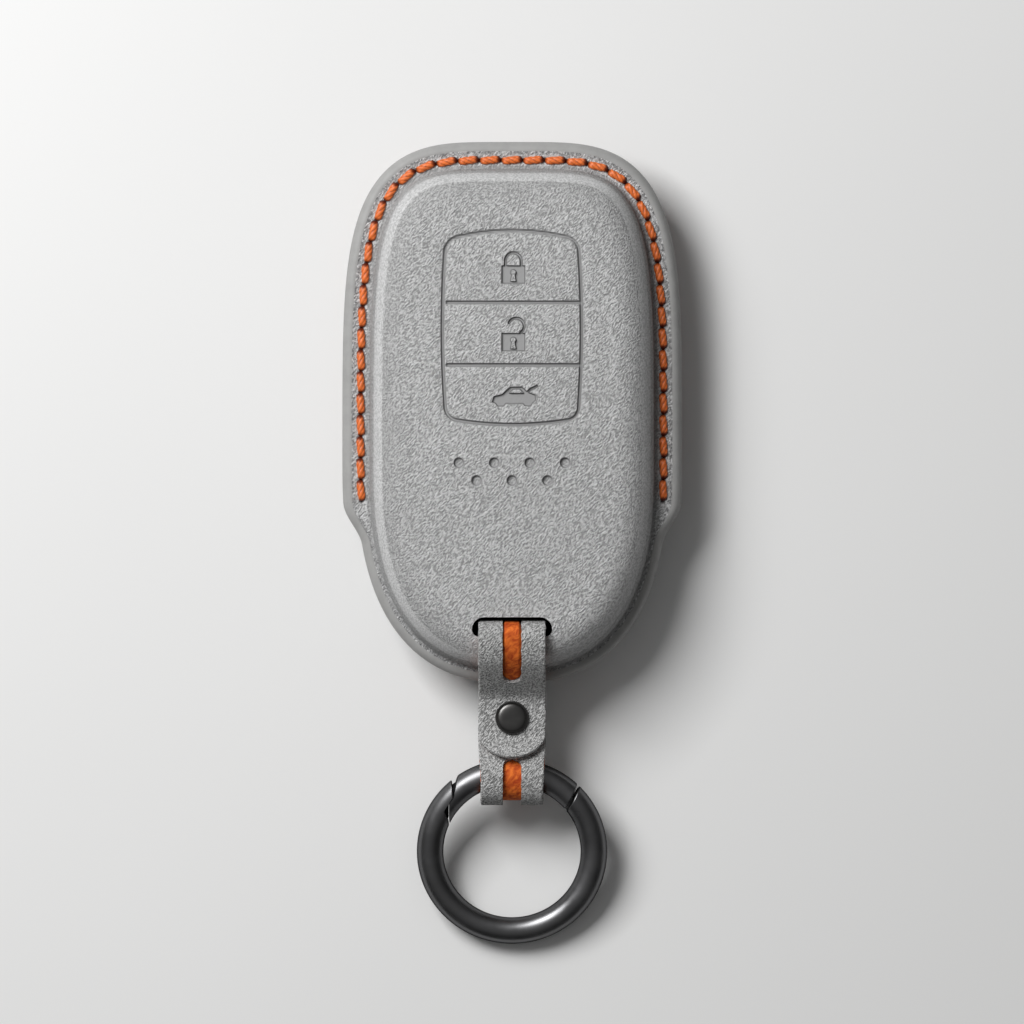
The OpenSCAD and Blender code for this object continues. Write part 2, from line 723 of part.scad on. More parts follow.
module ring_body() {
    end_run = (pin_pt - joint_pt) * joint_out + tongue_r + joint_gap / 2;
    color([0.25, 0.25, 0.26])
        in_ring()
            difference() {
                full_ring();
                through_ring(gate_opening);
                linear_extrude(height = fork_w, center = true)
                    polygon([joint_pt + joint_dir * wide, joint_pt - joint_dir * wide,
                             joint_pt - joint_dir * wide + joint_out * end_run,
                             joint_pt + joint_dir * wide + joint_out * end_run]);
                translate([pin_pt[0], pin_pt[1], -tube_r * 1.5])
                    cylinder(r = pin_r + pin_fit, h = tube_r * 3, $fn = 32);
            }
}

module ring_gate() {
    root = joint_pt - joint_out * tongue_r - joint_dir * tube_r * 0.35;
    side = tongue_r * 0.95 * unit([-(root - pin_pt)[1], (root - pin_pt)[0]]);
    color([0.27, 0.27, 0.28])
        in_ring()
            difference() {
                union() {
                    intersection() {
                        full_ring();
                        through_ring(gate_region);
                    }
                    translate([0, 0, -fork_w / 2 + pin_run])
                        linear_extrude(height = tongue_t)
                            polygon([pin_pt - side, root - side, root + side, pin_pt + side]);
                    translate([pin_pt[0], pin_pt[1], -fork_w / 2 + pin_run])
                        cylinder(r = tongue_r, h = tongue_t, $fn = 32);
                }
                translate([pin_pt[0], pin_pt[1], -fork_w])
                    cylinder(r = pin_r + pin_run, h = 2 * fork_w, $fn = 32);
            }
}

module gate_pin() {
    reach = sqrt(tube_r * tube_r - pin_in * pin_in) - pin_run;
    color([0.4, 0.4, 0.42])
        in_ring()
            translate([pin_pt[0], pin_pt[1], -reach])
                cylinder(r = pin_r, h = 2 * reach, $fn = 32);
}

// Torsion spring round the pin: turns from a helix, with a short straight leg at each end
spring_turns = 3;
coil_r = pin_r + wire_r * 2.2;
coil_low = -fork_w / 2 + pin_run + tongue_t + wire_r * 1.6;
coil_high = fork_w / 2 - wire_r * 1.5;
function coil_point(t, start) =
    let (a = start + 360 * spring_turns * t)
    [coil_r * cos(a), coil_r * sin(a), coil_low + (coil_high - coil_low) * t];
module gate_spring() {
    steps = 30;
    sides = 6;
    start = 100;
    leg = tongue_r * 0.9;
    turn = start + 360 * spring_turns;
    path = concat(
        [coil_point(0, start) + leg * [sin(start), -cos(start), 0]],
        [for (i = [0 : steps]) coil_point(i / steps, start)],
        [coil_point(1, start) + leg * [-sin(turn), cos(turn), 0]]);
    last = len(path) - 1;
    points = [for (i = [0 : last])
        let (d = unit(path[min(last, i + 1)] - path[max(0, i - 1)]),
             u = unit(cross([0, 0, 1], d)), v = cross(d, u))
        for (k = [0 : sides - 1]) path[i] + wire_r * (u * cos(360 * k / sides) + v * sin(360 * k / sides))];
    faces = concat(
        [[for (k = [0 : sides - 1]) k]],
        [for (i = [0 : last - 1]) for (k = [0 : sides - 1])
            [i * sides + k, (i + 1) * sides + k, (i + 1) * sides + (k + 1) % sides]],
        [for (i = [0 : last - 1]) for (k = [0 : sides - 1])
            [i * sides + k, (i + 1) * sides + (k + 1) % sides, i * sides + (k + 1) % sides]],
        [[for (k = [sides - 1 : -1 : 0]) last * sides + k]]);
    color([0.7, 0.7, 0.72])
        in_ring()
            translate([pin_pt[0], pin_pt[1], 0])
                polyhedron(points, faces);
}

front_cover();
front_lining();
back_cover();
back_lining();
needle_thread();
bobbin_thread();
strap_face();
strap_lining();
stud_barrel();
stud_screw();
ring_body();
ring_gate();
gate_pin();
gate_spring();
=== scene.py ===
import math

import bmesh
import bpy
import numpy as np
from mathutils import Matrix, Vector


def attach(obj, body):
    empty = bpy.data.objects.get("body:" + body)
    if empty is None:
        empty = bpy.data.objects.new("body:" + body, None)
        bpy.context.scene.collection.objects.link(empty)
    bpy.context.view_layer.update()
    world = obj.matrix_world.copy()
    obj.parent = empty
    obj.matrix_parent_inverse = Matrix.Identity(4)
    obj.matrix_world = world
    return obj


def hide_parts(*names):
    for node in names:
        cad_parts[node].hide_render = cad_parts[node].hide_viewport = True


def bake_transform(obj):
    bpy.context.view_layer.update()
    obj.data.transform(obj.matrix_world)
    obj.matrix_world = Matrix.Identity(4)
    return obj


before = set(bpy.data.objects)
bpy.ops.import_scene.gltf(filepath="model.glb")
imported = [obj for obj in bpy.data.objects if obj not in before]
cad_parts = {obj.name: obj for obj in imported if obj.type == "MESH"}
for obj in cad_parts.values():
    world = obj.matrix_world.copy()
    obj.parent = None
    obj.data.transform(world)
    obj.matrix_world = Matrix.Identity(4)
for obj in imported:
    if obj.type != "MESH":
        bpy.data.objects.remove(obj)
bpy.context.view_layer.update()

# Case outline and shells, in metres, as the solids have them
DOME_HALF_W = 0.0213
DOME_UP = 0.0442
DOME_DOWN = 0.0308
WIDE_DROP = 0.0078
UPPER_SQUARE = 4.5
LOWER_SQUARE = 2.5
FLANGE_W = 0.00415
LIP_W = 0.002
SEAM_END_DROP = 0.0133
NARROW_LEN = 0.0062
COVER_T = 0.0008
LINING_T = 0.0007
STACK_T = COVER_T + LINING_T
DOME_H = 0.0071
SHOULDER_RUN = 0.0065
SHOULDER_SQUARE = 2.4
FRONT_CROWN = 0.0006
BACK_CROWN = 0.00025
FLAT_CUT = 0.00002
FOOT_R = 0.0005
EDGE_W = 0.00125
MOUTH_GAP = 0.0004
GLUE_GAP = 0.00005
MID_Z = STACK_T + DOME_H + BACK_CROWN - FLAT_CUT
FOOT_Y = -(WIDE_DROP + DOME_DOWN)
CROWN_Y = (DOME_UP - DOME_DOWN) / 2 - WIDE_DROP

# Button panel, a rectangle with bowed sides, and its pressed grooves and dots, with painted shade in them
PANEL_HALF_W = 0.0104
PANEL_HALF_H = 0.0145
PANEL_MID = 0.0126
PANEL_CORNER_R = 0.0015
TOP_BOW_R = 0.0358
LOW_BOW_R = 0.0515
SIDE_BOW_R = 0.171
GROOVE_W = 0.00046
GROOVE_WALL = 0.00016
GROOVE_DEPTH = 0.0004
HOLLOW_SHARE = 0.35
HOLLOW_REACH = GROOVE_W * 3.5
GROOVE_SHADES = (0.45, 0.3)
BAR_SHARES = (-0.385, 0.26)
DOT_R = 0.00072
DOT_DEPTH = 0.0005
DOT_WALL = 0.00018
DOT_SHADES = (0.2, 0.5)
DOT_PITCH = 0.0053
DOT_DROP = 0.0076
DOT_ROW_GAP = 0.00265

# Seam
SEAM_INSET = 0.00275
STITCH_PITCH = 0.0032
STITCH_LEN = 0.00315
STITCH_R = 0.00058
STITCH_SLANT = math.radians(6)
STITCH_RISE = 0.00012
STITCH_DIP = 0.0006
STRAND_TWIST = 2.5
STRAND_DEPTH = 0.26
CHANNEL_DEPTH = 0.00012
CHANNEL_HALF = 0.001
HOLE_DEPTH = 0.00045
HOLE_R = 0.0005

# Strap
STRAP_W = 0.01005
STRAP_T = 0.0014
TAB_END_R = 0.0052
STUD_REACH = 0.0072
FOLD_REACH = 0.0087
TAB_REACH = 0.0062
TAIL_DROP = 0.0011
SLIT_W = 0.0028
SLOT_W = 0.012
SLOT_GAPE = 0.0029
SLOT_TOP_R = SLOT_GAPE * 0.62
SLOT_LOW_R = SLOT_GAPE * 0.36
SLOT_IN = 0.005
CUT_OVER = 0.002
LEG_GAP = 0.0001
RIDE_GAP = 0.00025
FOLD_CLEAR = 0.0002
FOLD_Z = MID_Z - TAIL_DROP
BACK_LEG_Z = FOLD_Z - (LEG_GAP + STRAP_T) / 2
RETURN_LEG_Z = FOLD_Z + (LEG_GAP + STRAP_T) / 2
TAB_Z = RETURN_LEG_Z + STRAP_T + LEG_GAP
STUD_Y = FOOT_Y - STUD_REACH
FOLD_Y = STUD_Y - FOLD_REACH
LOOP_SLACK = 0.0002
LOOP_EASE = 0.0001
LOOP_Y = FOLD_Y - LOOP_SLACK
FRONT_TOP_Z = MID_Z + STACK_T + DOME_H
FRONT_SLOT_LOW = FOOT_Y + SLOT_IN

# Edges of the strap: how ragged, how much narrower at the fold, where its lower leg shows, and its rows
RAGGED = 0.00005
PINCH = 0.00035
TAB_LINE = STUD_Y - 0.0035
FADE = 0.002
FRAY_STEPS = (0.00035, 0.0013)
SLIT_FRAY_STEP = 0.0005
ROW_STEP = 0.0002
ROW_GAP = 0.00003
WELD_GAP = 2e-7

# The lining's rise in the slits
INLAY_RISE = 0.0003
INLAY_SLOPE = 0.0004

# How much shorter and narrower the lining is than the face, above and on the lower leg
LINING_TRIM = 0.0007
LINING_INSET = 0.0002
LINING_SPREAD = -0.00003

# Stud
HEAD_R = 0.0025
HEAD_H = 0.0011
HEAD_RIM = HEAD_R * 0.05
HEAD_GROOVE = HEAD_R * 0.06
DOME_SHARE = 0.46
REAR_HEAD_H = 0.0008
BARREL_R = 0.0015
SCREW_R = 0.0009
STUD_HOLE_R = BARREL_R + LEG_GAP
STUD_HOLE_LOW = 0.002
STUD_HOLE_LEN = 0.014
BARREL_LEN = TAB_Z - BACK_LEG_Z + STRAP_T - LEG_GAP

# Ring
RING_R = 0.0123
TUBE_R = 0.002
END_BEVEL = 0.00024
JOINT_AT = math.radians(44)
JOINT_LEAN = math.radians(62)
JOINT_GAP = 0.0004
LAP_PLAY = 0.00005
PIN_R = 0.0005
FORK_W = 0.0022
WIRE_R = 0.00012
PIN_AT = math.radians(32.6)
PIN_IN = 0.0007
SPRING_TURNS = 3
COIL_R = PIN_R + WIRE_R * 2.2
TONGUE_R = 0.00105
TONGUE_T = 0.00085
PIN_RUN = 0.00005
FORK_RUN = 0.00002
POCKET_WALL = 0.0002
LAP_ANGLES = (129.2, 135.2, 146.2, 155.9)
LAP_SHARES = (1, 0.09, -0.04, -1)
LAP_OVER = (math.radians(4), math.radians(7))
FINGER_CLEAR = math.radians(0.5)
GATE_BOW = RING_R - math.sqrt(RING_R ** 2 - (STRAP_W / 2) ** 2)
RING_HANG = RING_R - GATE_BOW / 2
FOLD_R = TUBE_R + GATE_BOW / 2 + FOLD_CLEAR
FOLD_MID_R = FOLD_R + LOOP_EASE + STRAP_T / 2
RING_TILT = math.asin((FOLD_Z - TUBE_R) / (RING_HANG + RING_R))
RING_Y = FOLD_Y - RING_HANG * math.cos(RING_TILT)
RING_Z = FOLD_Z - RING_HANG * math.sin(RING_TILT)


# Meshes

NO_TRIS = np.zeros((0, 3), int)


def volume(points, tris):
    """Signed volume between triangles and the origin, times six"""
    a, b, c = (points[tris[:, k]] for k in range(3))
    return np.sum(a * np.cross(b, c))


def build(name, points, quads, tris=NO_TRIS, smooth=35):
    """An object from points, quads and triangles that face one way, turned to face outward"""
    if volume(points, quads[:, :3]) + volume(points, quads[:, [0, 2, 3]]) + volume(points, tris) < 0:
        quads, tris = quads[:, ::-1], tris[:, ::-1]
    mesh = bpy.data.meshes.new("look_" + name)
    mesh.from_pydata(points, [], quads.tolist() + tris.tolist())
    mesh.validate()
    made = bpy.data.objects.new("look_" + name, mesh)
    bpy.context.scene.collection.objects.link(made)
    soften(made, smooth)
    return made


def soften(made, angle=35):
    """Smooth shading, with edges sharper than an angle kept sharp"""
    made.data.shade_smooth()
    made.data.set_sharp_from_angle(angle=math.radians(angle))


def grid_quads(rows, columns):
    """Quads between closed rows of points"""
    r, c = np.meshgrid(np.arange(rows - 1), np.arange(columns), indexing="ij")
    a = r * columns + c
    b = r * columns + (c + 1) % columns
    return np.stack([a, a + columns, b + columns, b], axis=-1).reshape(-1, 4)


def fan(centre, ring, flip=False):
    """Triangles from a point to a closed ring of points"""
    after = np.roll(ring, -1)
    first, second = (after, ring) if flip else (ring, after)
    return np.stack([np.full(len(ring), centre), first, second], axis=-1)


def tube_skin(rows):
    """Points, quads and end triangles of a closed skin over rows of rings"""
    count, around = rows.shape[:2]
    points = np.concatenate([rows.reshape(-1, 3), rows[:1].mean(axis=1), rows[-1:].mean(axis=1)])
    quads = grid_quads(count, around)
    last = count * around
    tris = np.concatenate([fan(last, np.arange(around)),
                           fan(last + 1, np.arange(last - around, last), True)])
    return points, quads, tris


def join_skins(skins):
    """Several skins as one set of arrays"""
    points, quads, tris, first = [], [], [], 0
    for skin in skins:
        points.append(skin[0])
        quads.append(skin[1] + first)
        tris.append(skin[2] + first)
        first += len(skin[0])
    return np.concatenate(points), np.concatenate(quads), np.concatenate(tris)


def skinned(name, rows, place=None, smooth=35):
    """A closed piece over rows of rings, moved to its place"""
    points, quads, tris = tube_skin(np.asarray(rows))
    return build(name, place(points) if place else points, quads, tris, smooth)


def boolean(made, other, operation):
    """Cuts or joins another closed mesh, which is then removed"""
    step = made.modifiers.new("boolean", "BOOLEAN")
    step.object = other
    step.operation = operation
    step.solver = "MANIFOLD"
    apply_steps(made)
    bpy.data.objects.remove(other)


def apply_steps(made):
    """Applies every modifier of an object"""
    graph = bpy.context.evaluated_depsgraph_get()
    graph.update()
    mesh = bpy.data.meshes.new_from_object(made.evaluated_get(graph))
    mesh.name = made.name
    while mesh.materials and mesh.materials[-1] is None:
        mesh.materials.pop()
    made.modifiers.clear()
    made.data = mesh


def prism(name, outline, low, high, place=None):
    """A closed prism over an outline, from one level to another"""
    outline = np.asarray(outline, float)
    return skinned(name, [np.column_stack([outline, np.full(len(outline), z)]) for z in (low, high)], place)


def lathe(name, profile, middle, sides=96):
    """A closed turned piece: a profile of radius and height that starts and ends near its axis"""
    turn = np.linspace(0, math.tau, sides, endpoint=False)
    return skinned(name, [turned(r, turn, z) + middle for r, z in profile])


def float_mark(made, key, values):
    """A value at each point of a mesh, for its material to read"""
    layer = made.data.attributes.new(key, "FLOAT", "POINT")
    layer.data.foreach_set("value", np.asarray(values, np.float32))


def unit(v):
    """A vector, or each row of an array, at length 1"""
    return v / np.linalg.norm(v, axis=-1, keepdims=True)


def turned(radius, turn, z):
    """Points at radii and angles about the Z axis"""
    return np.stack([radius * np.cos(turn), radius * np.sin(turn), z + 0 * turn], axis=-1)


def running(points, weight=1.0):
    """Length run along a line at each of its points, each step by its weight"""
    return np.append(0, np.cumsum(np.linalg.norm(np.diff(points, axis=0), axis=1) * weight))


def ease(t):
    """Smooth step from 0 to 1"""
    t = np.clip(t, 0, 1)
    return t * t * (3 - 2 * t)


def arc(middle, radius, start, stop, steps):
    """Points on an arc, angles in radians"""
    turn = np.linspace(start, stop, steps + 1)
    return np.column_stack([middle[0] + radius * np.cos(turn), middle[1] + radius * np.sin(turn)])


# Materials

def add(mat, kind, inputs=None, **settings):
    """A node in a material, its sockets linked or set"""
    node = mat.node_tree.nodes.new(kind)
    for key, value in settings.items():
        setattr(node, key, value)
    for key, value in (inputs or {}).items():
        if isinstance(value, bpy.types.NodeSocket):
            mat.node_tree.links.new(value, node.inputs[key])
        else:
            node.inputs[key].default_value = value
    return node


def shader(name, **sockets):
    """A new material and its principled node, whose even values are set on its own sockets"""
    mat = bpy.data.materials.new(name)
    mat.use_nodes = True
    principled = mat.node_tree.nodes["Principled BSDF"]
    for key, value in sockets.items():
        principled.inputs[key.replace("_", " ")].default_value = value
    return mat, principled


def plug(mat, principled, **sockets):
    """Links sockets to the principled node"""
    for key, socket in sockets.items():
        mat.node_tree.links.new(socket, principled.inputs[key.replace("_", " ")])


def placed(mat, turn=0.0, stretch=1.0):
    """Object coordinates, turned about Z and drawn out along the turned X axis"""
    coords = add(mat, "ShaderNodeTexCoord").outputs["Object"]
    return add(mat, "ShaderNodeMapping", {
        "Vector": coords, "Rotation": (0, 0, turn), "Scale": (stretch, 1, 1)},
        vector_type="TEXTURE").outputs["Vector"]


def noise(mat, vector, scale, detail=3.0, roughness=0.6, distortion=0.0):
    return add(mat, "ShaderNodeTexNoise", {
        "Vector": vector, "Scale": scale, "Detail": detail, "Roughness": roughness,
        "Distortion": distortion}).outputs["Fac"]


def ramp(mat, value, low, high, to_low=0.0, to_high=1.0):
    """A value brought from one range to another, smoothly"""
    return add(mat, "ShaderNodeMapRange", {
        "Value": value, "From Min": low, "From Max": high, "To Min": to_low, "To Max": to_high},
        interpolation_type="SMOOTHSTEP").outputs["Result"]


def mix(mat, share, first, second):
    """Two colours mixed"""
    node = add(mat, "ShaderNodeMix", data_type="RGBA")
    for index, value in ((0, share), (6, first), (7, second)):
        if isinstance(value, bpy.types.NodeSocket):
            mat.node_tree.links.new(value, node.inputs[index])
        else:
            node.inputs[index].default_value = (*value, 1.0)
    return node.outputs[2]


def darker(colour, share):
    return tuple(c * share for c in colour)


def maths(mat, operation, first, second):
    return add(mat, "ShaderNodeMath", {0: first, 1: second}, operation=operation).outputs["Value"]


def times(mat, first, second):
    return maths(mat, "MULTIPLY", first, second)


def attribute(mat, name):
    return add(mat, "ShaderNodeAttribute", attribute_name=name).outputs["Fac"]


def bump(mat, height, distance, strength=1.0):
    return add(mat, "ShaderNodeBump", {
        "Height": height, "Distance": distance, "Strength": strength}).outputs["Normal"]


NAP_TURN = math.radians(48)
PIT_SHADE_TONE = (0.03, 0.014, 0.01)


def suede(name, light, dark, nap):
    """Suede with a fine slanted nap: painted shade on the dome's slopes, in its pressed marks and in its
    stitch pits, a painted highlight along a smooth line inside the foot, dotted in its crease
    """
    mat, principled = shader(name, Roughness=0.95, Sheen_Weight=0.05, Sheen_Roughness=0.5,
                             Specular_IOR_Level=0.15)
    plain = placed(mat)
    naps = noise(mat, placed(mat, NAP_TURN, 2.2), 4900, detail=2, roughness=0.5, distortion=0.3)
    burnish, press = attribute(mat, "burnish"), attribute(mat, "press")
    dots = times(mat, attribute(mat, "crease"), ramp(mat, noise(mat, plain, 2400), 0.42, 0.58))
    middle = tuple((a + b) / 2 for a, b in zip(light, dark))
    tone = mix(mat, ramp(mat, naps, 0.38, 0.6), dark, light)
    for share, towards in ((ramp(mat, noise(mat, plain, 110), 0.3, 0.75, 0.0, 0.12), dark),
                           # Painted shade on the dome's slopes, darkest towards the foot
                           (times(mat, attribute(mat, "stretch"), 0.5), darker(dark, 0.75)),
                           # Painted highlight along the smooth line inside the foot
                           (times(mat, burnish, 0.1), light),
                           (times(mat, dots, 0.6), darker(dark, 0.3)),
                           # Painted shade in the pressed grooves, pictograms and dots
                           (ramp(mat, press, 0.1, 0.45), middle),
                           (press, darker(dark, 0.12)),
                           # Near-black painted shade in the stitch pits
                           (attribute(mat, "pit"), PIT_SHADE_TONE)):
        tone = mix(mat, share, tone, towards)
    height = maths(mat, "ADD", naps, times(mat, noise(mat, plain, 7500, detail=2), 0.35))
    nappy = maths(mat, "SUBTRACT", 1.0, maths(mat, "MAXIMUM", burnish, press))
    strength = ramp(mat, nappy, 0.45, 0.95, 0.15, 1.0)
    plug(mat, principled, Base_Color=tone, Normal=bump(mat, height, nap, strength))
    return mat


def edge_paint(name, colour):
    """Smooth painted edge of the suede; with a near-black colour it is the painted shade on the slots' cut
    walls
    """
    mat, principled = shader(name, Roughness=0.55, Specular_IOR_Level=0.4)
    plain = placed(mat)
    tone = mix(mat, ramp(mat, noise(mat, plain, 500), 0.3, 0.7), darker(colour, 0.9), colour)
    plug(mat, principled, Base_Color=tone, Normal=bump(mat, noise(mat, plain, 3000, detail=2), 0.00003))
    return mat


def cloth_orange(name, bright, deep):
    """Orange lining with fine wrinkles across it"""
    mat, principled = shader(name, Roughness=0.8, Specular_IOR_Level=0.2)
    wrinkles = noise(mat, placed(mat, NAP_TURN, 1.8), 1300, detail=4, distortion=0.6)
    specks = noise(mat, placed(mat), 5000, detail=2)
    height = maths(mat, "ADD", wrinkles, times(mat, specks, 0.3))
    plug(mat, principled, Base_Color=mix(mat, ramp(mat, wrinkles, 0.3, 0.7), deep, bright),
         Normal=bump(mat, height, 0.0001))
    return mat


def thread_orange(name, bright, deep):
    """Waxed orange thread, with painted shade between its strands and where it enters the holes"""
    mat, principled = shader(name, Roughness=0.45, Specular_IOR_Level=0.45)
    fibres = noise(mat, placed(mat, NAP_TURN, 5.0), 6000)
    tone = mix(mat, ramp(mat, fibres, 0.35, 0.65, 0.0, 0.35), bright, deep)
    # Painted shade between the strands and at the stitch ends
    tone = mix(mat, attribute(mat, "groove"), tone, darker(deep, 0.35))
    plug(mat, principled, Base_Color=tone, Normal=bump(mat, fibres, 0.00004))
    return mat


def metal(name, colour, roughness):
    """Polished dark metal with faint streaks, darker at grazing angles"""
    mat, principled = shader(name, Metallic=1.0, Specular_Tint=(0.08, 0.08, 0.08, 1.0))
    cloud = noise(mat, placed(mat), 160)
    streaks = noise(mat, placed(mat, 0.3, 14.0), 2600, detail=2)
    gloss = maths(mat, "ADD", ramp(mat, cloud, 0.3, 0.7, roughness * 0.8, roughness * 1.2),
                  times(mat, streaks, 0.05))
    tone = mix(mat, ramp(mat, cloud, 0.3, 0.7), darker(colour, 0.9), colour)
    plug(mat, principled, Base_Color=tone, Roughness=gloss, Normal=bump(mat, streaks, 0.000004))
    return mat


def lining_grey(name):
    """Dark smooth lining inside the case"""
    mat, principled = shader(name, Roughness=0.75, Specular_IOR_Level=0.3)
    weave = noise(mat, placed(mat), 2500)
    tone = mix(mat, ramp(mat, weave, 0.3, 0.7), (0.03, 0.03, 0.032), (0.05, 0.05, 0.052))
    plug(mat, principled, Base_Color=tone, Normal=bump(mat, weave, 0.00004))
    return mat


SUEDE = suede("suede", (0.73, 0.73, 0.73), (0.35, 0.35, 0.35), 0.00054)
STRAP_SUEDE = suede("strap_suede", (0.69, 0.69, 0.685), (0.25, 0.25, 0.247), 0.00066)
PAINT = edge_paint("edge_paint", (0.32, 0.318, 0.312))
# Near-black painted shade on the slots' cut walls
SLOT_WALL_SHADE = edge_paint("raw_edge", (0.06, 0.058, 0.056))
LINING = lining_grey("case_lining")
ORANGE = cloth_orange("strap_orange", (0.78, 0.18, 0.028), (0.36, 0.045, 0.008))
THREAD = thread_orange("thread_orange", (0.8, 0.18, 0.035), (0.28, 0.032, 0.008))
STUD_METAL = metal("stud_metal", (0.1, 0.098, 0.096), 0.3)
# Near-black metal painted on the core of the lap recess, as its shade
RECESS_SHADE = metal("recess_metal", (0.025, 0.025, 0.026), 0.6)
RING_TONE = (0.18, 0.18, 0.184)
RING_METAL = metal("ring_metal", RING_TONE, 0.34)
PIN_STEEL = metal("pin_steel", RING_TONE, 0.34)
SPRING_STEEL = metal("spring_steel", (0.55, 0.55, 0.56), 0.3)


def dress(made, body, slot, nodes, *mats):
    """Gives a piece its materials and body, and hides the nodes that it stands for; its slot is not used"""
    for mat in mats:
        made.data.materials.append(mat)
    if body is not None:
        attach(made, body)
    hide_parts(*nodes)


# Case

def sewn(y):
    """Share of the flange that is sewn, 1 at the seam and 0 at the open lip"""
    return ease((y + SEAM_END_DROP + NARROW_LEN) / NARROW_LEN)


def rim_width(y):
    return LIP_W + (FLANGE_W - LIP_W) * sewn(y)


def foot_at(turn):
    """Points of the dome's foot at polar angles, and their outward directions"""
    c, s = np.cos(turn), np.sin(turn)
    length = np.where(s < 0, DOME_DOWN, DOME_UP)
    square = np.where(s < 0, LOWER_SQUARE, UPPER_SQUARE)
    reach = (np.abs(c / DOME_HALF_W) ** square + np.abs(s / length) ** square) ** (-1 / square)
    x, y = reach * c, reach * s
    out = np.column_stack([np.sign(c) * np.abs(x / DOME_HALF_W) ** (square - 1) / DOME_HALF_W,
                           np.sign(s) * np.abs(y / length) ** (square - 1) / length])
    return np.column_stack([x, y - WIDE_DROP]), unit(out)


# Rows and columns lie closer where the front's relief is
DENSE_SHARE = 0.8
DENSE_STEPS = 0.92
DENSE_TOP = 4.0
DENSE_HALF_W = DOME_HALF_W * 0.6


def foot_outline(count, top_weight=1.0):
    """Points evenly along the foot, closer at the top by a weight, with their outward directions"""
    turn = np.linspace(-np.pi / 2, 1.5 * np.pi, 20001)
    points, _ = foot_at(turn)
    top = ease(1.35 - np.abs(points[1:, 0]) / DENSE_HALF_W) * (points[1:, 1] > 0)
    run = running(points, 1 + (top_weight - 1) * top)
    return foot_at(np.interp(np.arange(count) * run[-1] / count, run, turn))


def ring_points(foot, out, ring, side):
    """One ring of a shell, on the front (1) or the back (-1)"""
    share, offset, height, shrink = ring
    y = foot[:, 1]
    flat = foot + out * (share * rim_width(y) + offset)[:, None]
    flat = flat * shrink + np.array([0, CROWN_Y]) * (1 - shrink)
    lift = (1 - sewn(y)) * max(0, 1 - height / (DOME_H / 2)) * MOUTH_GAP / 2
    z = np.maximum(MID_Z + side * (height + lift), 0)
    return np.column_stack([flat, z])


def crown_height(depth, crown, share):
    return STACK_T - depth + DOME_H + min(FRONT_CROWN * (1 - share * share), crown)


def face_rings(depth, crown, crown_steps, shoulder_steps):
    """Rings of one face of a shell, from the middle of the crown out to the flange"""
    inner = int(crown_steps * DENSE_STEPS)
    shares = np.concatenate([np.linspace(0, DENSE_SHARE, inner + 1)[1:],
                             np.linspace(DENSE_SHARE, 1, crown_steps - inner + 1)[1:]])
    rings = [(0, -SHOULDER_RUN, crown_height(depth, crown, s), s) for s in shares]
    for turn in np.radians(np.linspace(90, 4.5, shoulder_steps + 1)[1:]):
        rings.append((0, -depth - (SHOULDER_RUN - depth) * (1 - math.cos(turn) ** (2 / SHOULDER_SQUARE)),
                      STACK_T - depth + DOME_H * math.sin(turn) ** (2 / SHOULDER_SQUARE), 1))
    for turn in np.radians(np.linspace(0, 90, max(3, shoulder_steps // 4) + 1)):
        rings.append((0, FOOT_R - (FOOT_R + depth) * math.cos(turn),
                      STACK_T + FOOT_R - (FOOT_R + depth) * math.sin(turn), 1))
    return rings


def flange_rings(depth, steps):
    """Rings across the flat of the flange"""
    return [(t, FOOT_R - (EDGE_W + FOOT_R) * t, STACK_T - depth, 1)
            for t in np.linspace(0, 1, steps + 1)[1:-1]]


def edge_rings(high, low, steps):
    """Rings of the rounded edge between two heights above the middle of the stack"""
    turns = np.linspace(math.asin(high / STACK_T), math.asin(low / STACK_T), steps + 1)
    return [(1, -EDGE_W * (1 - math.cos(t)), STACK_T * math.sin(t), 1) for t in turns]


def pressed(edge, wall, shades, plateau=1.2, fade=1.0):
    """How far a mark is pressed in at a signed distance to its edge, and the painted shade on its floor and
    rim
    """
    sunk = ease(0.5 - edge / wall)
    return sunk, shades[0] * sunk + shades[1] * ease(plateau - np.abs(edge) / (wall * fade))


def groove(distance):
    """Height and painted shade of a pressed groove at a distance from its middle: steep walls in a soft
    hollow
    """
    sunk, dark = pressed(np.abs(distance) - GROOVE_W / 2, GROOVE_WALL, GROOVE_SHADES)
    return -GROOVE_DEPTH * (sunk + HOLLOW_SHARE * ease(1 - np.abs(distance) / HOLLOW_REACH)), dark


def panel_distance(x, y):
    """Signed distance to the button panel, a rectangle with bowed sides and rounded corners"""
    y = y - PANEL_MID
    side = np.hypot(np.abs(x) + SIDE_BOW_R - PANEL_HALF_W, y) - SIDE_BOW_R
    over = np.hypot(x, y + TOP_BOW_R - PANEL_HALF_H) - TOP_BOW_R
    under = np.hypot(x, y - LOW_BOW_R + PANEL_HALF_H) - LOW_BOW_R
    end = np.where(y > 0, over, under)
    round_side, round_end = np.maximum(side + PANEL_CORNER_R, 0), np.maximum(end + PANEL_CORNER_R, 0)
    return np.minimum(np.maximum(side, end), -PANEL_CORNER_R) + np.hypot(round_side, round_end)


def line_distance(x, y, points):
    """Distance to a polyline"""
    best = np.full(x.shape, np.inf)
    for a, b in zip(points[:-1], points[1:]):
        d = np.subtract(b, a)
        t = np.clip(((x - a[0]) * d[0] + (y - a[1]) * d[1]) / max(d @ d, 1e-12), 0, 1)
        best = np.minimum(best, np.hypot(x - a[0] - t * d[0], y - a[1] - t * d[1]))
    return best


def polygon_distance(x, y, points):
    """Signed distance to a closed polygon, negative inside"""
    closed = list(points) + [points[0]]
    inside = np.zeros(x.shape, bool)
    for a, b in zip(closed[:-1], closed[1:]):
        crosses = (a[1] > y) != (b[1] > y)
        with np.errstate(divide="ignore", invalid="ignore"):
            inside ^= crosses & (x < (b[0] - a[0]) * (y - a[1]) / (b[1] - a[1]) + a[0])
    return np.where(inside, -1, 1) * line_distance(x, y, closed)


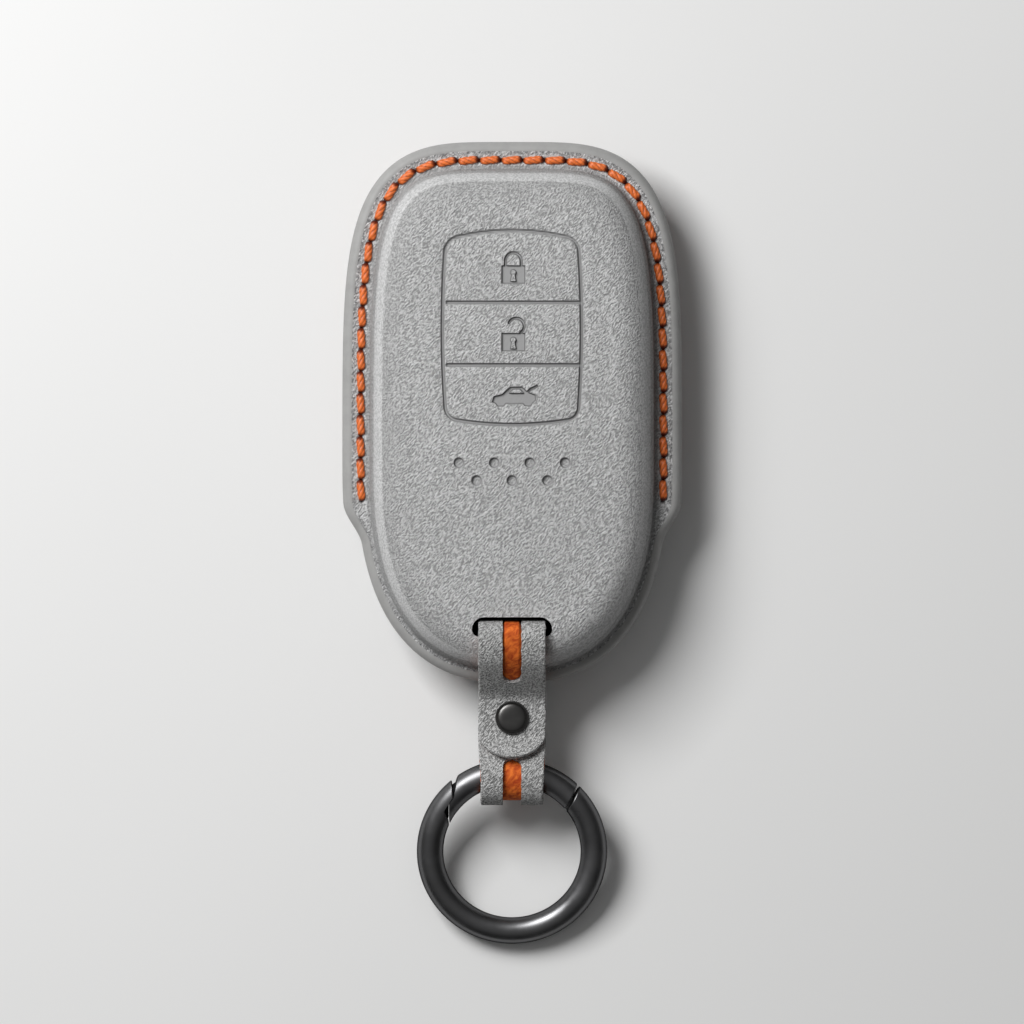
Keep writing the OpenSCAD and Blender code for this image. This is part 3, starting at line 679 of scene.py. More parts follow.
# Pictograms of a lock, an open lock and a car with its boot open
LOCK_AT = (0.0002, 0.02055)
OPEN_LOCK_AT = (0.0002, 0.01045)
LOCK_HALF_W = 0.00175
LOCK_HALF_H = 0.00133
SHACKLE_R = 0.00118
STROKE_R = 0.0002
KEYHOLE_R = 0.0004
KEYHOLE_RISE = KEYHOLE_R * 0.8
CAR_UNIT = 0.001
CAR_AT = (0.0003, 0.0024)
MARK_DEPTH = 0.0004
MARK_WALL = 0.00009
MARK_SHADES = (0.45, 0.5)


def lock_distance(x, y, at, opened):
    """Signed distance to a padlock, its shackle shut or swung open"""
    x, y = x - at[0], y - at[1]
    high, r = LOCK_HALF_H, KEYHOLE_R
    body = polygon_distance(x, y, [(-LOCK_HALF_W, -high), (LOCK_HALF_W, -high),
                                   (LOCK_HALF_W, high), (-LOCK_HALF_W, high)])
    flare = [(-r * 0.4, KEYHOLE_RISE), (-r, -high * 0.76), (r, -high * 0.76), (r * 0.4, KEYHOLE_RISE)]
    keyhole = np.minimum(np.hypot(x, y - KEYHOLE_RISE) - r, polygon_distance(x, y, flare))
    if opened:
        middle = (SHACKLE_R * 0.38, high + SHACKLE_R * 0.9)
        path = arc(middle, SHACKLE_R, math.radians(155), math.radians(-55), 14)
    else:
        bend = arc((0, high + SHACKLE_R * 0.62), SHACKLE_R, math.pi, 0, 14)
        path = [(-SHACKLE_R, high), *bend, (SHACKLE_R, high)]
    return np.minimum(np.maximum(body, -keyhole), line_distance(x, y, path) - STROKE_R)


# The car in its own units
CAR_BODY = [(-3.3, -0.95), (-3.05, -0.1), (-1.8, 0.22), (-0.55, 1.35), (1.2, 1.35), (2.05, 0.55),
            (3.2, 0.15), (3.28, -0.65), (2.8, -1.05), (2.55, -1.52), (1.65, -1.52), (1.3, -1.15),
            (-1.2, -1.15), (-1.55, -1.55), (-2.45, -1.55), (-2.8, -1.1)]
CAR_GLASS = [(-0.7, 0.4), (-0.1, 0.98), (0.9, 0.98), (1.45, 0.4)]
CAR_LID = [(2.05, 0.55), (2.5, 1.0), (3.38, 1.42)]
CAR_LID_R = 0.2


def car_distance(x, y):
    """Signed distance to a car seen from the side, its boot lid raised"""
    x, y = (x - CAR_AT[0]) / CAR_UNIT, (y - CAR_AT[1]) / CAR_UNIT
    shape = np.maximum(polygon_distance(x, y, CAR_BODY), -polygon_distance(x, y, CAR_GLASS))
    return CAR_UNIT * np.minimum(shape, line_distance(x, y, CAR_LID) - CAR_LID_R)


def front_relief(x, y):
    """Pressed height of the front, and the painted shade in its hollows: panel, pictograms and dots"""
    rim = panel_distance(x, y)
    height, dark = groove(rim)
    inside = ease(-(rim + GROOVE_W * (x < 0)) / GROOVE_W + 0.5)
    for share in BAR_SHARES:
        bar = groove(y - (PANEL_MID + share * PANEL_HALF_H))
        height, dark = np.minimum(height, inside * bar[0]), np.maximum(dark, inside * bar[1])
    marks = np.minimum(lock_distance(x, y, LOCK_AT, False), lock_distance(x, y, OPEN_LOCK_AT, True))
    sunk, shade = pressed(np.minimum(marks, car_distance(x, y)), MARK_WALL, MARK_SHADES, 1.0, 1.8)
    height, dark = np.minimum(height, -MARK_DEPTH * sunk), np.maximum(dark, shade)
    for row, count in enumerate((4, 3)):
        for k in range(count):
            cx, cy = (k - (count - 1) / 2) * DOT_PITCH, -DOT_DROP - row * DOT_ROW_GAP
            sunk, shade = pressed(np.hypot(x - cx, y - cy) - DOT_R, DOT_WALL, DOT_SHADES)
            height, dark = np.minimum(height, -DOT_DEPTH * sunk), np.maximum(dark, shade)
    return height, dark


def seam_path():
    """Dense points of the seam, and the running length at each"""
    foot, out = foot_outline(4000)
    top = foot[:, 1] > -SEAM_END_DROP
    path = (foot + out * (FLANGE_W - SEAM_INSET))[top]
    return path, running(path)


SEAM, SEAM_RUN = seam_path()
STITCH_COUNT = int(SEAM_RUN[-1] / STITCH_PITCH)
STITCH_STEP = SEAM_RUN[-1] / STITCH_COUNT


def on_seam(run):
    return np.array([np.interp(run, SEAM_RUN, SEAM[:, k]) for k in (0, 1)])


HOLES = np.array([on_seam(i * STITCH_STEP) for i in range(STITCH_COUNT + 1)])


def seam_relief(points, across):
    """Channel along the seam and a pit at each stitch hole with painted shade in it, for points of the
    flange
    """
    sunk = sewn(points[:, 1] + NARROW_LEN * 0.6)
    height = -CHANNEL_DEPTH * ease(1 - np.abs(across - (FLANGE_W - SEAM_INSET)) / CHANNEL_HALF) * sunk
    near = np.full(len(points), np.inf)
    for hole in HOLES:
        near = np.minimum(near, np.hypot(*(points[:, :2] - hole).T))
    pit = ease(1 - near / HOLE_R)
    return height - HOLE_DEPTH * pit, pit


# Smooth line inside the foot of the dome, painted lighter as a highlight, and the crease of the flange
SMOOTH_HIGHLIGHT_IN = 0.0012
SMOOTH_HIGHLIGHT_W = 0.0005
CREASE_IN = EDGE_W * 1.25
CREASE_W = EDGE_W * 0.3


def ply_marks(rings, foot, on_dome, covers):
    """What a ply's material reads at each point, with the pits and presses still to be filled in"""
    share, offset = (np.array([ring[k] for ring in rings])[:, None] for k in (0, 1))
    blank = np.zeros((len(rings), len(foot)))
    across = (1 - share) * rim_width(foot[:, 1]) - offset * (share > 0)
    return {"pit": blank.copy(), "press": blank.copy(),
            # A painted highlight along a smooth line inside the foot, where the nap is also flattened
            "burnish": blank + covers * on_dome * ease(1.6 - np.abs(offset + SMOOTH_HIGHLIGHT_IN) / SMOOTH_HIGHLIGHT_W),
            # Painted shade on the dome's slopes, darkest towards the foot
            "stretch": blank + on_dome * ease(1 + offset / SHOULDER_RUN * 0.9),
            "crease": covers * (share > 0) * ease(1.4 - np.abs(across - CREASE_IN) / CREASE_W)}


def case_ply(name, side, from_depth, to_depth, crown, around, crown_steps, shoulder_steps, relief):
    """One ply of a dome: its outer face, its share of the rounded edge and its inner face"""
    covers = from_depth == 0
    foot, out = foot_outline(around, DENSE_TOP if relief else 1.0)
    outer = face_rings(from_depth, crown, crown_steps, shoulder_steps)
    flat = flange_rings(from_depth, 16 if relief else 6)
    edge = edge_rings(STACK_T - from_depth, STACK_T - to_depth, 10)
    inner = [*face_rings(to_depth, crown, 10, 10), *flange_rings(to_depth, 3)]
    rings = outer + flat + edge + inner[::-1]
    grid = np.stack([ring_points(foot, out, ring, side) for ring in rings])
    marks = ply_marks(rings, foot, np.arange(len(rings))[:, None] < len(outer), covers)
    if covers:
        for r in range(len(outer), len(outer) + len(flat)):
            share, offset = rings[r][:2]
            rise, marks["pit"][r] = seam_relief(grid[r], share * rim_width(foot[:, 1]) + offset)
            grid[r, :, 2] += side * rise
    if relief:
        top = grid[:crown_steps + 2]
        # The relief gives the pressed height and the painted shade in the hollows
        rise, marks["press"][:crown_steps + 2] = relief(top[:, :, 0], top[:, :, 1])
        top[:, :, 2] += rise
    points, quads, tris = tube_skin(grid)
    points[-2:, :2] = 0, CROWN_Y
    made = build(name, points, quads, tris, smooth=50)
    painted = np.zeros(len(quads) + len(tris), np.int32)
    first = len(outer) + len(flat) - 1
    painted[first * around:(first + len(edge) + 1) * around] = 1
    made.data.polygons.foreach_set("material_index", painted)
    for key, values in marks.items():
        float_mark(made, key, np.append(values, [0, 0]))
    return made


def slot_outline(half, top, bottom, top_r, low_r):
    """Outline of a strap slot, its upper and lower corners rounded"""
    corners = ((half - top_r, top - top_r, top_r), (top_r - half, top - top_r, top_r),
               (low_r - half, bottom + low_r, low_r), (half - low_r, bottom + low_r, low_r))
    return np.concatenate([arc((x, y), r, k * math.pi / 2, (k + 1) * math.pi / 2, 8)
                           for k, (x, y, r) in enumerate(corners)])


def front_slot():
    outline = slot_outline(SLOT_W / 2, FRONT_SLOT_LOW + SLOT_GAPE, FRONT_SLOT_LOW, SLOT_TOP_R, SLOT_LOW_R)
    return prism("front_slot", outline, MID_Z, FRONT_TOP_Z + CUT_OVER)


BACK_SLOT_LEAN = math.radians(25)
BACK_SLOT_Y = FOOT_Y + SHOULDER_RUN * 0.28
BACK_SLOT_Z = MID_Z - STACK_T - DOME_H * 0.77
BACK_SLOT_GAPE = STRAP_T * 1.75
BACK_SLOT_R = BACK_SLOT_GAPE * 0.48


def back_slot():
    c, s = math.cos(BACK_SLOT_LEAN), math.sin(BACK_SLOT_LEAN)
    half = BACK_SLOT_GAPE / 2
    outline = slot_outline(SLOT_W / 2, half, -half, BACK_SLOT_R, BACK_SLOT_R)

    def place(points):
        y = STACK_T * 2.6 - points[:, 2]
        z = points[:, 1]
        return np.column_stack([points[:, 0], BACK_SLOT_Y + y * c - z * s, BACK_SLOT_Z + y * s + z * c])
    return prism("back_slot", outline, 0, STACK_T * 4.2, place)


def make_case():
    """Covers and linings of both halves, each with its strap slot"""
    crown_steps, around = ((420, 1500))
    inner = COVER_T + GLUE_GAP
    plies = (("front_cover", 1, 0, COVER_T, FRONT_CROWN, around, crown_steps, 26, front_relief),
             ("back_cover", -1, 0, COVER_T, BACK_CROWN, 640, 20, 22, None),
             ("front_lining", 1, inner, STACK_T, FRONT_CROWN, 360, 10, 12, None),
             ("back_lining", -1, inner, STACK_T, BACK_CROWN, 360, 10, 12, None))
    for name, side, *shape in plies:
        made = case_ply(name, side, *shape)
        covers = shape[0] == 0
        for mat in (SUEDE if covers else LINING, PAINT, SLOT_WALL_SHADE):
            made.data.materials.append(mat)
        slot = front_slot() if side > 0 else back_slot()
        # The slot's cut walls take the near-black painted shade
        for face in slot.data.polygons:
            face.material_index = 2
        boolean(made, slot, "DIFFERENCE")
        soften(made, 50)
        dress(made, "case", "suede" if covers else "case_lining", [name])


# Thread

def stitch_rows(middle, along, out, side):
    """Rings of one twisted stitch that dips into its holes at both ends, and the painted shade along it"""
    t = np.linspace(-1, 1, 31)
    turn = np.linspace(0, math.tau, 36, endpoint=False)
    lift = STITCH_RISE - STITCH_DIP * t ** 6
    thick = STITCH_R * (1 - 0.3 * t ** 6)
    lobes = np.sqrt(np.abs(np.sin(2 * (turn[None, :] * side + STRAND_TWIST * t[:, None]))))
    radius = thick[:, None] * (1 - STRAND_DEPTH + STRAND_DEPTH * lobes)
    up = np.array([0, 0, side])
    flange = MID_Z + side * STACK_T
    line = np.array([*middle, flange]) + np.outer(t * STITCH_LEN / 2, along) + np.outer(lift, up)
    rows = line[:, None, :] + radius[:, :, None] * (
        np.cos(turn)[None, :, None] * out + np.sin(turn)[None, :, None] * up * 0.85)
    # Painted shade between the strands, and at the ends where the thread dips into its holes, a little more
    # at its first end
    shade = np.clip(1.15 - lobes * 1.9, 0, 1) + ease((np.abs(t - 0.1) - 0.58) / 0.4)[:, None]
    return rows, np.clip(shade, 0, 1)


def make_thread(name, side):
    """All the stitches of one thread of the lock stitch"""
    c, s = math.cos(STITCH_SLANT), math.sin(STITCH_SLANT)
    skins, shades = [], []
    for i in range(STITCH_COUNT):
        start, middle, stop = (on_seam((i + share) * STITCH_STEP) for share in (0.25, 0.5, 0.75))
        x, y = unit(stop - start)
        along = np.array([x * c - y * s, x * s + y * c, 0])
        rows, shade = stitch_rows(middle, along, np.array([along[1], -along[0], 0]), side)
        skins.append(tube_skin(rows))
        shades.append(np.append(shade, [1, 1]))
    made = build(name, *join_skins(skins), smooth=80)
    # The painted shade between strands and at the stitch ends
    float_mark(made, "groove", np.concatenate(shades))
    dress(made, "case", "thread", [name], THREAD)


# Strap

def dome_point(turn):
    """Point on the front dome's outer face on the centre line, set off by the strap's ride"""
    c, s = math.cos(turn), math.sin(turn)
    share = 2 / SHOULDER_SQUARE
    point = np.array([FOOT_Y + SHOULDER_RUN * (1 - c ** share), MID_Z + STACK_T + DOME_H * s ** share])
    out = unit(np.array([-c ** (2 - share) / SHOULDER_RUN, s ** (2 - share) / DOME_H]))
    return point + out * (STRAP_T / 2 + RIDE_GAP)


def smooth_path(points, steps):
    """Smooth curve through given points"""
    points = np.asarray(points, float)
    last = len(points) - 1
    made = []
    for i in range(last):
        a, b, c, d = (points[max(0, i - 1)], points[i], points[i + 1], points[min(last, i + 2)])
        for t in np.arange(steps) / steps:
            made.append(0.5 * (2 * b + (c - a) * t + (2 * a - 5 * b + 4 * c - d) * t ** 2
                               + (3 * b - a - 3 * c + d) * t ** 3))
    made.append(points[-1])
    return np.array(made)


def strap_path():
    """The strap's middle line in the plane across the case, from the tab's tip to its inner end"""
    t = STRAP_T
    part_y = LOOP_Y + FOLD_MID_R * 1.45
    rise = RETURN_LEG_Z - FOLD_Z
    far = math.hypot(part_y - LOOP_Y, rise)
    slope = math.asin(FOLD_MID_R / far) - math.atan(rise / (part_y - LOOP_Y))
    leg = np.array([-math.cos(slope), math.sin(slope)])
    top_touch = np.array([part_y, RETURN_LEG_Z]) + leg * math.sqrt(far ** 2 - FOLD_MID_R ** 2)
    low_touch = np.array([top_touch[0], 2 * FOLD_Z - top_touch[1]])
    tab_part = np.array([part_y + (t + LEG_GAP) * math.tan(slope / 2), TAB_Z])
    tab_end = tab_part + leg * ((tab_part[0] - (STUD_Y - TAB_REACH)) / math.cos(slope))
    slot_mid = FRONT_SLOT_LOW + SLOT_GAPE * 0.55
    flat = HEAD_R + LEG_GAP
    tab = [tab_end, tab_part + leg * t * 0.6, tab_part + [t * 0.35, 0],
           (STUD_Y - HEAD_R * 0.6, TAB_Z), (STUD_Y, TAB_Z), (STUD_Y + flat, TAB_Z),
           (FOOT_Y - LIP_W - t * 1.1, TAB_Z + t * 0.35), (FOOT_Y - LIP_W - t * 0.1, TAB_Z + t * 1.5)]
    over = [dome_point(math.radians(40)), dome_point(math.radians(58)),
            (FRONT_SLOT_LOW - t * 0.3, FRONT_TOP_Z + t * 0.66),
            (slot_mid - t * 0.35, FRONT_TOP_Z + t * 0.3),
            (slot_mid + t * 0.02, FRONT_TOP_Z - STACK_T * 0.55),
            (slot_mid + t * 0.2, FRONT_TOP_Z - STACK_T * 1.9)]
    inside = [(slot_mid + t * 0.2, MID_Z), (slot_mid - t * 0.3, MID_Z - DOME_H * 0.45),
              (BACK_SLOT_Y + t * 1.9, BACK_SLOT_Z + t * 1.2), (BACK_SLOT_Y, BACK_SLOT_Z)]
    under = [(FOOT_Y - t * 0.1, BACK_SLOT_Z - t * 0.2), (FOOT_Y - t * 0.85, BACK_SLOT_Z + t * 0.75),
             (FOOT_Y - t * 1.2, MID_Z - DOME_H * 0.55), (FOOT_Y - LIP_W - t * 0.5, BACK_LEG_Z - t * 0.55),
             (FOOT_Y - LIP_W - t * 1.1, BACK_LEG_Z - t * 0.08), (STUD_Y + flat, BACK_LEG_Z),
             (STUD_Y, BACK_LEG_Z), (STUD_Y - HEAD_R * 0.6, BACK_LEG_Z),
             (part_y + t * 0.35, BACK_LEG_Z),
             np.array([part_y, BACK_LEG_Z]) + leg * [1, -1] * t * 0.6, low_touch]
    lean = math.atan2(top_touch[1] - FOLD_Z, top_touch[0] - LOOP_Y)
    fold = arc((LOOP_Y, FOLD_Z), FOLD_MID_R, -lean, lean - math.tau, 60)[1:-1]
    back = [top_touch, np.array([part_y, RETURN_LEG_Z]) + leg * t * 0.6, (part_y + t * 0.35, RETURN_LEG_Z),
            (STUD_Y, RETURN_LEG_Z), (STUD_Y + flat + t * 0.3, RETURN_LEG_Z)]
    front = smooth_path(tab + over + inside + under, 12)
    for _ in range(40):
        bend = (front[:, 0] > STUD_Y) & (front[:, 1] > MID_Z)
        front[1:-1][bend[1:-1]] = ((front[:-2] + front[2:]) / 2)[bend[1:-1]]
    return np.concatenate([front, fold, smooth_path(back, 12)])


STRAP = strap_path()
STRAP_RUN = running(STRAP)


def run_where(test, after=0.0):
    """First running length past a place where the strap's path meets a test"""
    hits = np.nonzero(test & (STRAP_RUN > after))[0]
    return STRAP_RUN[hits[0]]


def strap_slits():
    """Running lengths at which the two long slits start and end"""
    y, z = STRAP.T
    tab_low = STUD_Y - TAB_REACH - LEG_GAP * 3
    upper = run_where(y > FOOT_Y - LIP_W * 0.7)
    upper_end = run_where((z < MID_Z + STACK_T) & (y > FOOT_Y), upper)
    lower = run_where(y < tab_low, upper_end)
    lower_end = run_where(y > tab_low, lower)
    return (upper, upper_end), (lower, lower_end)


def strap_rows(slits):
    """Running lengths of the strap's rows, closer where an end is round"""
    rows = [np.arange(0, STRAP_RUN[-1], ROW_STEP), [STRAP_RUN[-1]]]
    turns = np.radians(np.arange(4, 91, 4))
    rows.append(TAB_END_R * (1 - np.cos(turns)))
    for start, stop in slits:
        rows.append(start + SLIT_W / 2 * (1 - np.cos(turns)))
        rows.append(stop - SLIT_W / 2 * (1 - np.cos(turns)))
        rows.append([start, stop])
    rows = np.sort(np.concatenate(rows))
    return rows[np.concatenate([[True], np.diff(rows) > ROW_GAP])]


def half_widths(run, slits, trim):
    """Half width of the strap, and of the slit in it, at running lengths"""
    tip = np.clip(1 - (run - trim) / TAB_END_R, 0, 1)
    wide = np.minimum(STRAP_W / 2, TAB_END_R * np.sqrt(1 - tip ** 2 + 1e-4))
    wide = wide - trim * 0.5 * (1 - ease((run - TAB_END_R) / FADE))
    open_half = np.zeros_like(run)
    for start, stop in slits:
        near = np.minimum(run - start, stop - run)
        curve = np.clip(1 - near / (SLIT_W / 2), 0, 1)
        open_half = np.maximum(open_half, np.where(near > 0, SLIT_W / 2 * np.sqrt(1 - curve ** 2), 0))
    return wide, open_half


def ragged(run, size, step, seed):
    """Smooth random offsets along a length"""
    values = np.random.default_rng(seed).uniform(-1, 1, int(run[-1] / step) + 3)
    place = run / step
    index = place.astype(int)
    return size * (values[index] + (values[index + 1] - values[index]) * ease(place - index))


def strap_side(run, path, left, low, high, lifts, open_half, wide, side, columns):
    """Closed skin of one half of a ply, from its slit's edge or the middle line out to its own edge"""
    soft = (high - low) * 0.3
    spans = open_half + (wide - soft - open_half) * np.linspace(0, 1, columns + 1)[:, None]
    loop = [(x, high + lifts(x)) for x in spans]
    loop += [(wide - soft * 0.3, high - soft * 0.3), (wide, high - soft), (wide, low + soft),
             (wide - soft * 0.3, low + soft * 0.3)]
    loop += [(x, low) for x in spans[::-1]]
    rows = np.stack([np.column_stack([side * x, path + left * np.broadcast_to(level, run.shape)[:, None]])
                     for x, level in loop], axis=1)
    around = len(loop)
    closed = (open_half[:-1] == 0) & (open_half[1:] == 0)
    keep = np.ones((len(run) - 1, around), bool)
    keep[closed, around - 1] = False
    quads = grid_quads(len(run), around)[keep.ravel()]
    pairs = np.array([[k, k + 1, around - 2 - k, around - 1 - k] for k in range(around // 2 - 1)])
    quads = np.concatenate([quads, pairs[:, ::-1], pairs + (len(run) - 1) * around])
    return rows.reshape(-1, 3), quads[:, ::side], NO_TRIS


def strap_layer(name, low, high, slits, raised, trim, spread, inset, seed, columns):
    """One ply of the strap between two offsets from its middle line, cut by slits or raised in them"""
    run = strap_rows(slits)
    run = run[run >= trim]
    path = np.column_stack([np.interp(run, STRAP_RUN, STRAP[:, k]) for k in (0, 1)])
    ahead = unit(np.gradient(path, axis=0))
    left = np.column_stack([-ahead[:, 1], ahead[:, 0]])
    whole, slit = half_widths(run, slits, trim)
    y = path[:, 0]
    low_leg = ease((TAB_LINE - y) / FADE)
    whole = whole - PINCH * ease((TAB_LINE - y) / (TAB_LINE - FOLD_Y + FOLD_R))
    whole = whole + spread * low_leg - inset * (1 - low_leg)
    filled = half_widths(run, raised, 0)[1]
    rise = INLAY_RISE * (1 - low_leg + ease((y - FRONT_SLOT_LOW + FADE / 2) / FADE))
    size = RAGGED + spread * 0.9 * low_leg
    skins = []
    for side in (1, -1):
        frayed = sum(ragged(run, size, step, seed + k * side) for k, step in enumerate(FRAY_STEPS, 1))
        wide = whole + frayed * ease(run / FADE)
        open_half = slit + ragged(run, RAGGED, SLIT_FRAY_STEP, seed + 5 * side) * ease(slit / (SLIT_W / 2))
        skins.append(strap_side(run, path, left, low, high,
                                lambda x: rise * ease((filled - x) / INLAY_SLOPE),
                                open_half, wide, side, columns))
    return welded(build(name, *join_skins(skins)))


def welded(made):
    """Joins the points that lie together and drops the faces that close up"""
    clean = bmesh.new()
    clean.from_mesh(made.data)
    bmesh.ops.remove_doubles(clean, verts=clean.verts, dist=WELD_GAP)
    bmesh.ops.dissolve_degenerate(clean, edges=clean.edges, dist=1e-8)
    bmesh.ops.recalc_face_normals(clean, faces=clean.faces)
    clean.to_mesh(made.data)
    clean.free()
    return made


def make_strap():
    """Suede face and orange lining of the one-piece strap, each cut with the stud's hole"""
    slits = strap_slits()
    face = strap_layer("strap_face", GLUE_GAP / 2, STRAP_T / 2, slits, (), 0.0, 0.0, 0.0, 11, 14)
    lining = strap_layer("strap_lining", -STRAP_T / 2, -GLUE_GAP / 2, (), slits, LINING_TRIM,
                         LINING_SPREAD, LINING_INSET, 31, 40)
    for made, slot, mat in ((face, "suede", STRAP_SUEDE), (lining, "strap_lining", ORANGE)):
        profile = [(0, 0), (STUD_HOLE_R, 0), (STUD_HOLE_R, STUD_HOLE_LEN), (0, STUD_HOLE_LEN)]
        hole = lathe("hole", profile, (0, STUD_Y, STUD_HOLE_LOW), 48)
        boolean(made, hole, "DIFFERENCE")
        soften(made, 50)
        dress(made, None, slot, [made.name[5:]], mat)
        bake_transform(made)


# Stud

def make_head():
    """Domed head with its rim, groove and barrel"""
    dome_r = HEAD_R - HEAD_RIM - HEAD_GROOVE
    start = HEAD_H * 0.35
    turns = np.radians(np.linspace(0, 90, 25))
    dome = [(dome_r * math.cos(a) ** DOME_SHARE, start + (HEAD_H - start) * math.sin(a) ** DOME_SHARE)
            for a in turns[:-1]]
    bore, soft = SCREW_R + PIN_RUN, HEAD_RIM * 0.3
    profile = [(0.0, -BARREL_LEN * 0.2), (bore, -BARREL_LEN * 0.2), (bore, -BARREL_LEN),
               (BARREL_R, -BARREL_LEN), (BARREL_R, 0), (HEAD_R - soft, 0), (HEAD_R, soft),
               (HEAD_R, HEAD_H * 0.34), (HEAD_R - soft, HEAD_H * 0.4), (HEAD_R - HEAD_RIM, HEAD_H * 0.4),
               (HEAD_R - HEAD_RIM, HEAD_H * 0.2), (dome_r, HEAD_H * 0.2), *dome, (0.0, HEAD_H)]
    head = lathe("stud_barrel", profile, (0, STUD_Y, TAB_Z + STRAP_T / 2))
    dress(head, "strap_tail", "stud_metal", ["stud_barrel"], STUD_METAL)


def make_screw():
    """Slotted screw that closes the stud from behind"""
    low = BACK_LEG_Z - STRAP_T / 2
    chamfer, high, depth = REAR_HEAD_H * 0.3, REAR_HEAD_H, REAR_HEAD_H * 0.4
    profile = [(0.0, -high), (HEAD_R - chamfer * 1.6, -high), (HEAD_R - chamfer * 1.2, -high * 0.97),
               (HEAD_R, -chamfer * 0.4), (HEAD_R, 0), (SCREW_R, 0), (SCREW_R, BARREL_LEN * 0.7),
               (0.0, BARREL_LEN * 0.7)]
    screw = lathe("stud_screw", profile, (0, STUD_Y, low))
    half = HEAD_R * 1.2
    slot = prism("slot", [(-half, -depth), (half, -depth), (half, depth), (-half, depth)],
                 -high * 1.5, -high + depth, lambda points: points + np.array([0, STUD_Y, low]))
    boolean(screw, slot, "DIFFERENCE")
    soften(screw)
    dress(screw, "strap_tail", "stud_metal", ["stud_screw"], STUD_METAL)


# Ring

JOINT_DIR = np.array([math.cos(JOINT_LEAN), math.sin(JOINT_LEAN)])
JOINT_OUT = np.array([math.sin(JOINT_LEAN), -math.cos(JOINT_LEAN)])
JOINT_PT = RING_R * np.array([math.cos(JOINT_AT), math.sin(JOINT_AT)])
PIN_PT = (RING_R - PIN_IN) * np.array([math.cos(PIN_AT), math.sin(PIN_AT)])


def in_ring(points):
    """Points from the ring's own frame to the model's"""
    c, s = math.cos(RING_TILT), math.sin(RING_TILT)
    x, y, z = points[..., 0], points[..., 1], points[..., 2]
    return np.stack([x, RING_Y + y * c - z * s, RING_Z + y * s + z * c], axis=-1)


def joint_line(gap):
    """The straight joint: its angle on the ring as a function of radius"""
    start = JOINT_PT + JOINT_OUT * gap
    along = start @ JOINT_DIR

    def angle(radius):
        t = -along + np.sqrt(np.maximum(along ** 2 - start @ start + radius ** 2, 0))
        return np.arctan2(start[1] + t * JOINT_DIR[1], start[0] + t * JOINT_DIR[0])
    return angle


def profile_angle(points):
    """A joint drawn as points from the outside in: its angle as a function of radius"""
    dense = np.concatenate([np.linspace(a, b, 40) for a, b in zip(points[:-1], points[1:])])
    radius = np.linalg.norm(dense, axis=1)
    turn = np.arctan2(dense[:, 1], dense[:, 0]) % math.tau
    order = np.argsort(radius)
    return lambda r: np.interp(r, radius[order], turn[order])


def polar(radius, turn):
    return np.array([radius * math.cos(turn), radius * math.sin(turn)])


LAP_PTS = [polar(RING_R + share * TUBE_R, math.radians(a)) for share, a in zip(LAP_SHARES, LAP_ANGLES)]


def lap(play, clear):
    """One side of the lap joint: two arcs about the pin, set back by a play, and a step between them"""
    reach = [np.linalg.norm(p - PIN_PT) for p in LAP_PTS]
    turn = [math.atan2(*(p - PIN_PT)[::-1]) % math.tau for p in LAP_PTS]
    slope = (turn[2] - turn[1]) / (reach[2] - reach[1])
    outer, inner = reach[1] - play, reach[3] - play

    def step(radius):
        return turn[1] + (radius - reach[1]) * slope + clear
    return np.concatenate([arc(PIN_PT, outer, turn[0] - LAP_OVER[0], step(outer), 8),
                           arc(PIN_PT, inner, step(inner), turn[3] + LAP_OVER[1], 8)])


# Rings of an end face, from its middle out: the core, which may lie deeper, and the band round it
CORE_SHARES = (0.02, 0.2, 0.4, 0.6, 0.78)
BAND_SHARES = (0.8, 0.93)
RING_SIDES = 112


def ring_piece(name, start, stop, steps, core=None):
    """A length of the tube between two joints, its end edges softly broken, its start painted dark where
    cored, as shade in the recess
    """
    theta = np.linspace(0, math.tau, RING_SIDES, endpoint=False)
    phi = theta + 0.33 * np.sin(2 * theta)
    flat = TUBE_R - END_BEVEL
    soft = [(END_BEVEL * (1 - math.sin(a)), END_BEVEL * (1 - math.cos(a)))
            for a in np.radians(np.arange(90, -1, -15))]
    rows = []

    def row(tube, turn_of, ahead=0.0):
        radius = RING_R + tube * np.cos(phi)
        rows.append(turned(radius, turn_of(radius) + ahead / RING_R, tube * np.sin(phi)))
    for share in CORE_SHARES:
        row(flat * share, core or start)
    for share in BAND_SHARES:
        row(flat * share, start)
    for ahead, inward in soft:
        row(TUBE_R - inward, start, ahead)
    for t in np.linspace(0, 1, steps + 1)[1:-1]:
        t = ease(t) * 0.4 + t * 0.6
        row(TUBE_R, lambda radius: start(radius) * (1 - t) + stop(radius) * t)
    for ahead, inward in soft[::-1]:
        row(TUBE_R - inward, stop, -ahead)
    for share in (*BAND_SHARES[::-1], *CORE_SHARES[-2::-1]):
        row(flat * share, stop)
    made = skinned(name, rows, in_ring)
    if core:
        # The cored start takes the dark metal, as painted shade
        recess_shade = np.zeros(len(made.data.polygons), np.int32)
        recess_shade[:RING_SIDES * len(CORE_SHARES)] = 1
        made.data.polygons.foreach_set("material_index", recess_shade)
    return made


def ring_prism(name, outline, low, high):
    return prism(name, outline, low, high, in_ring)


def circle(middle, radius):
    return arc(middle, radius, 0, math.tau, 48)[:-1]


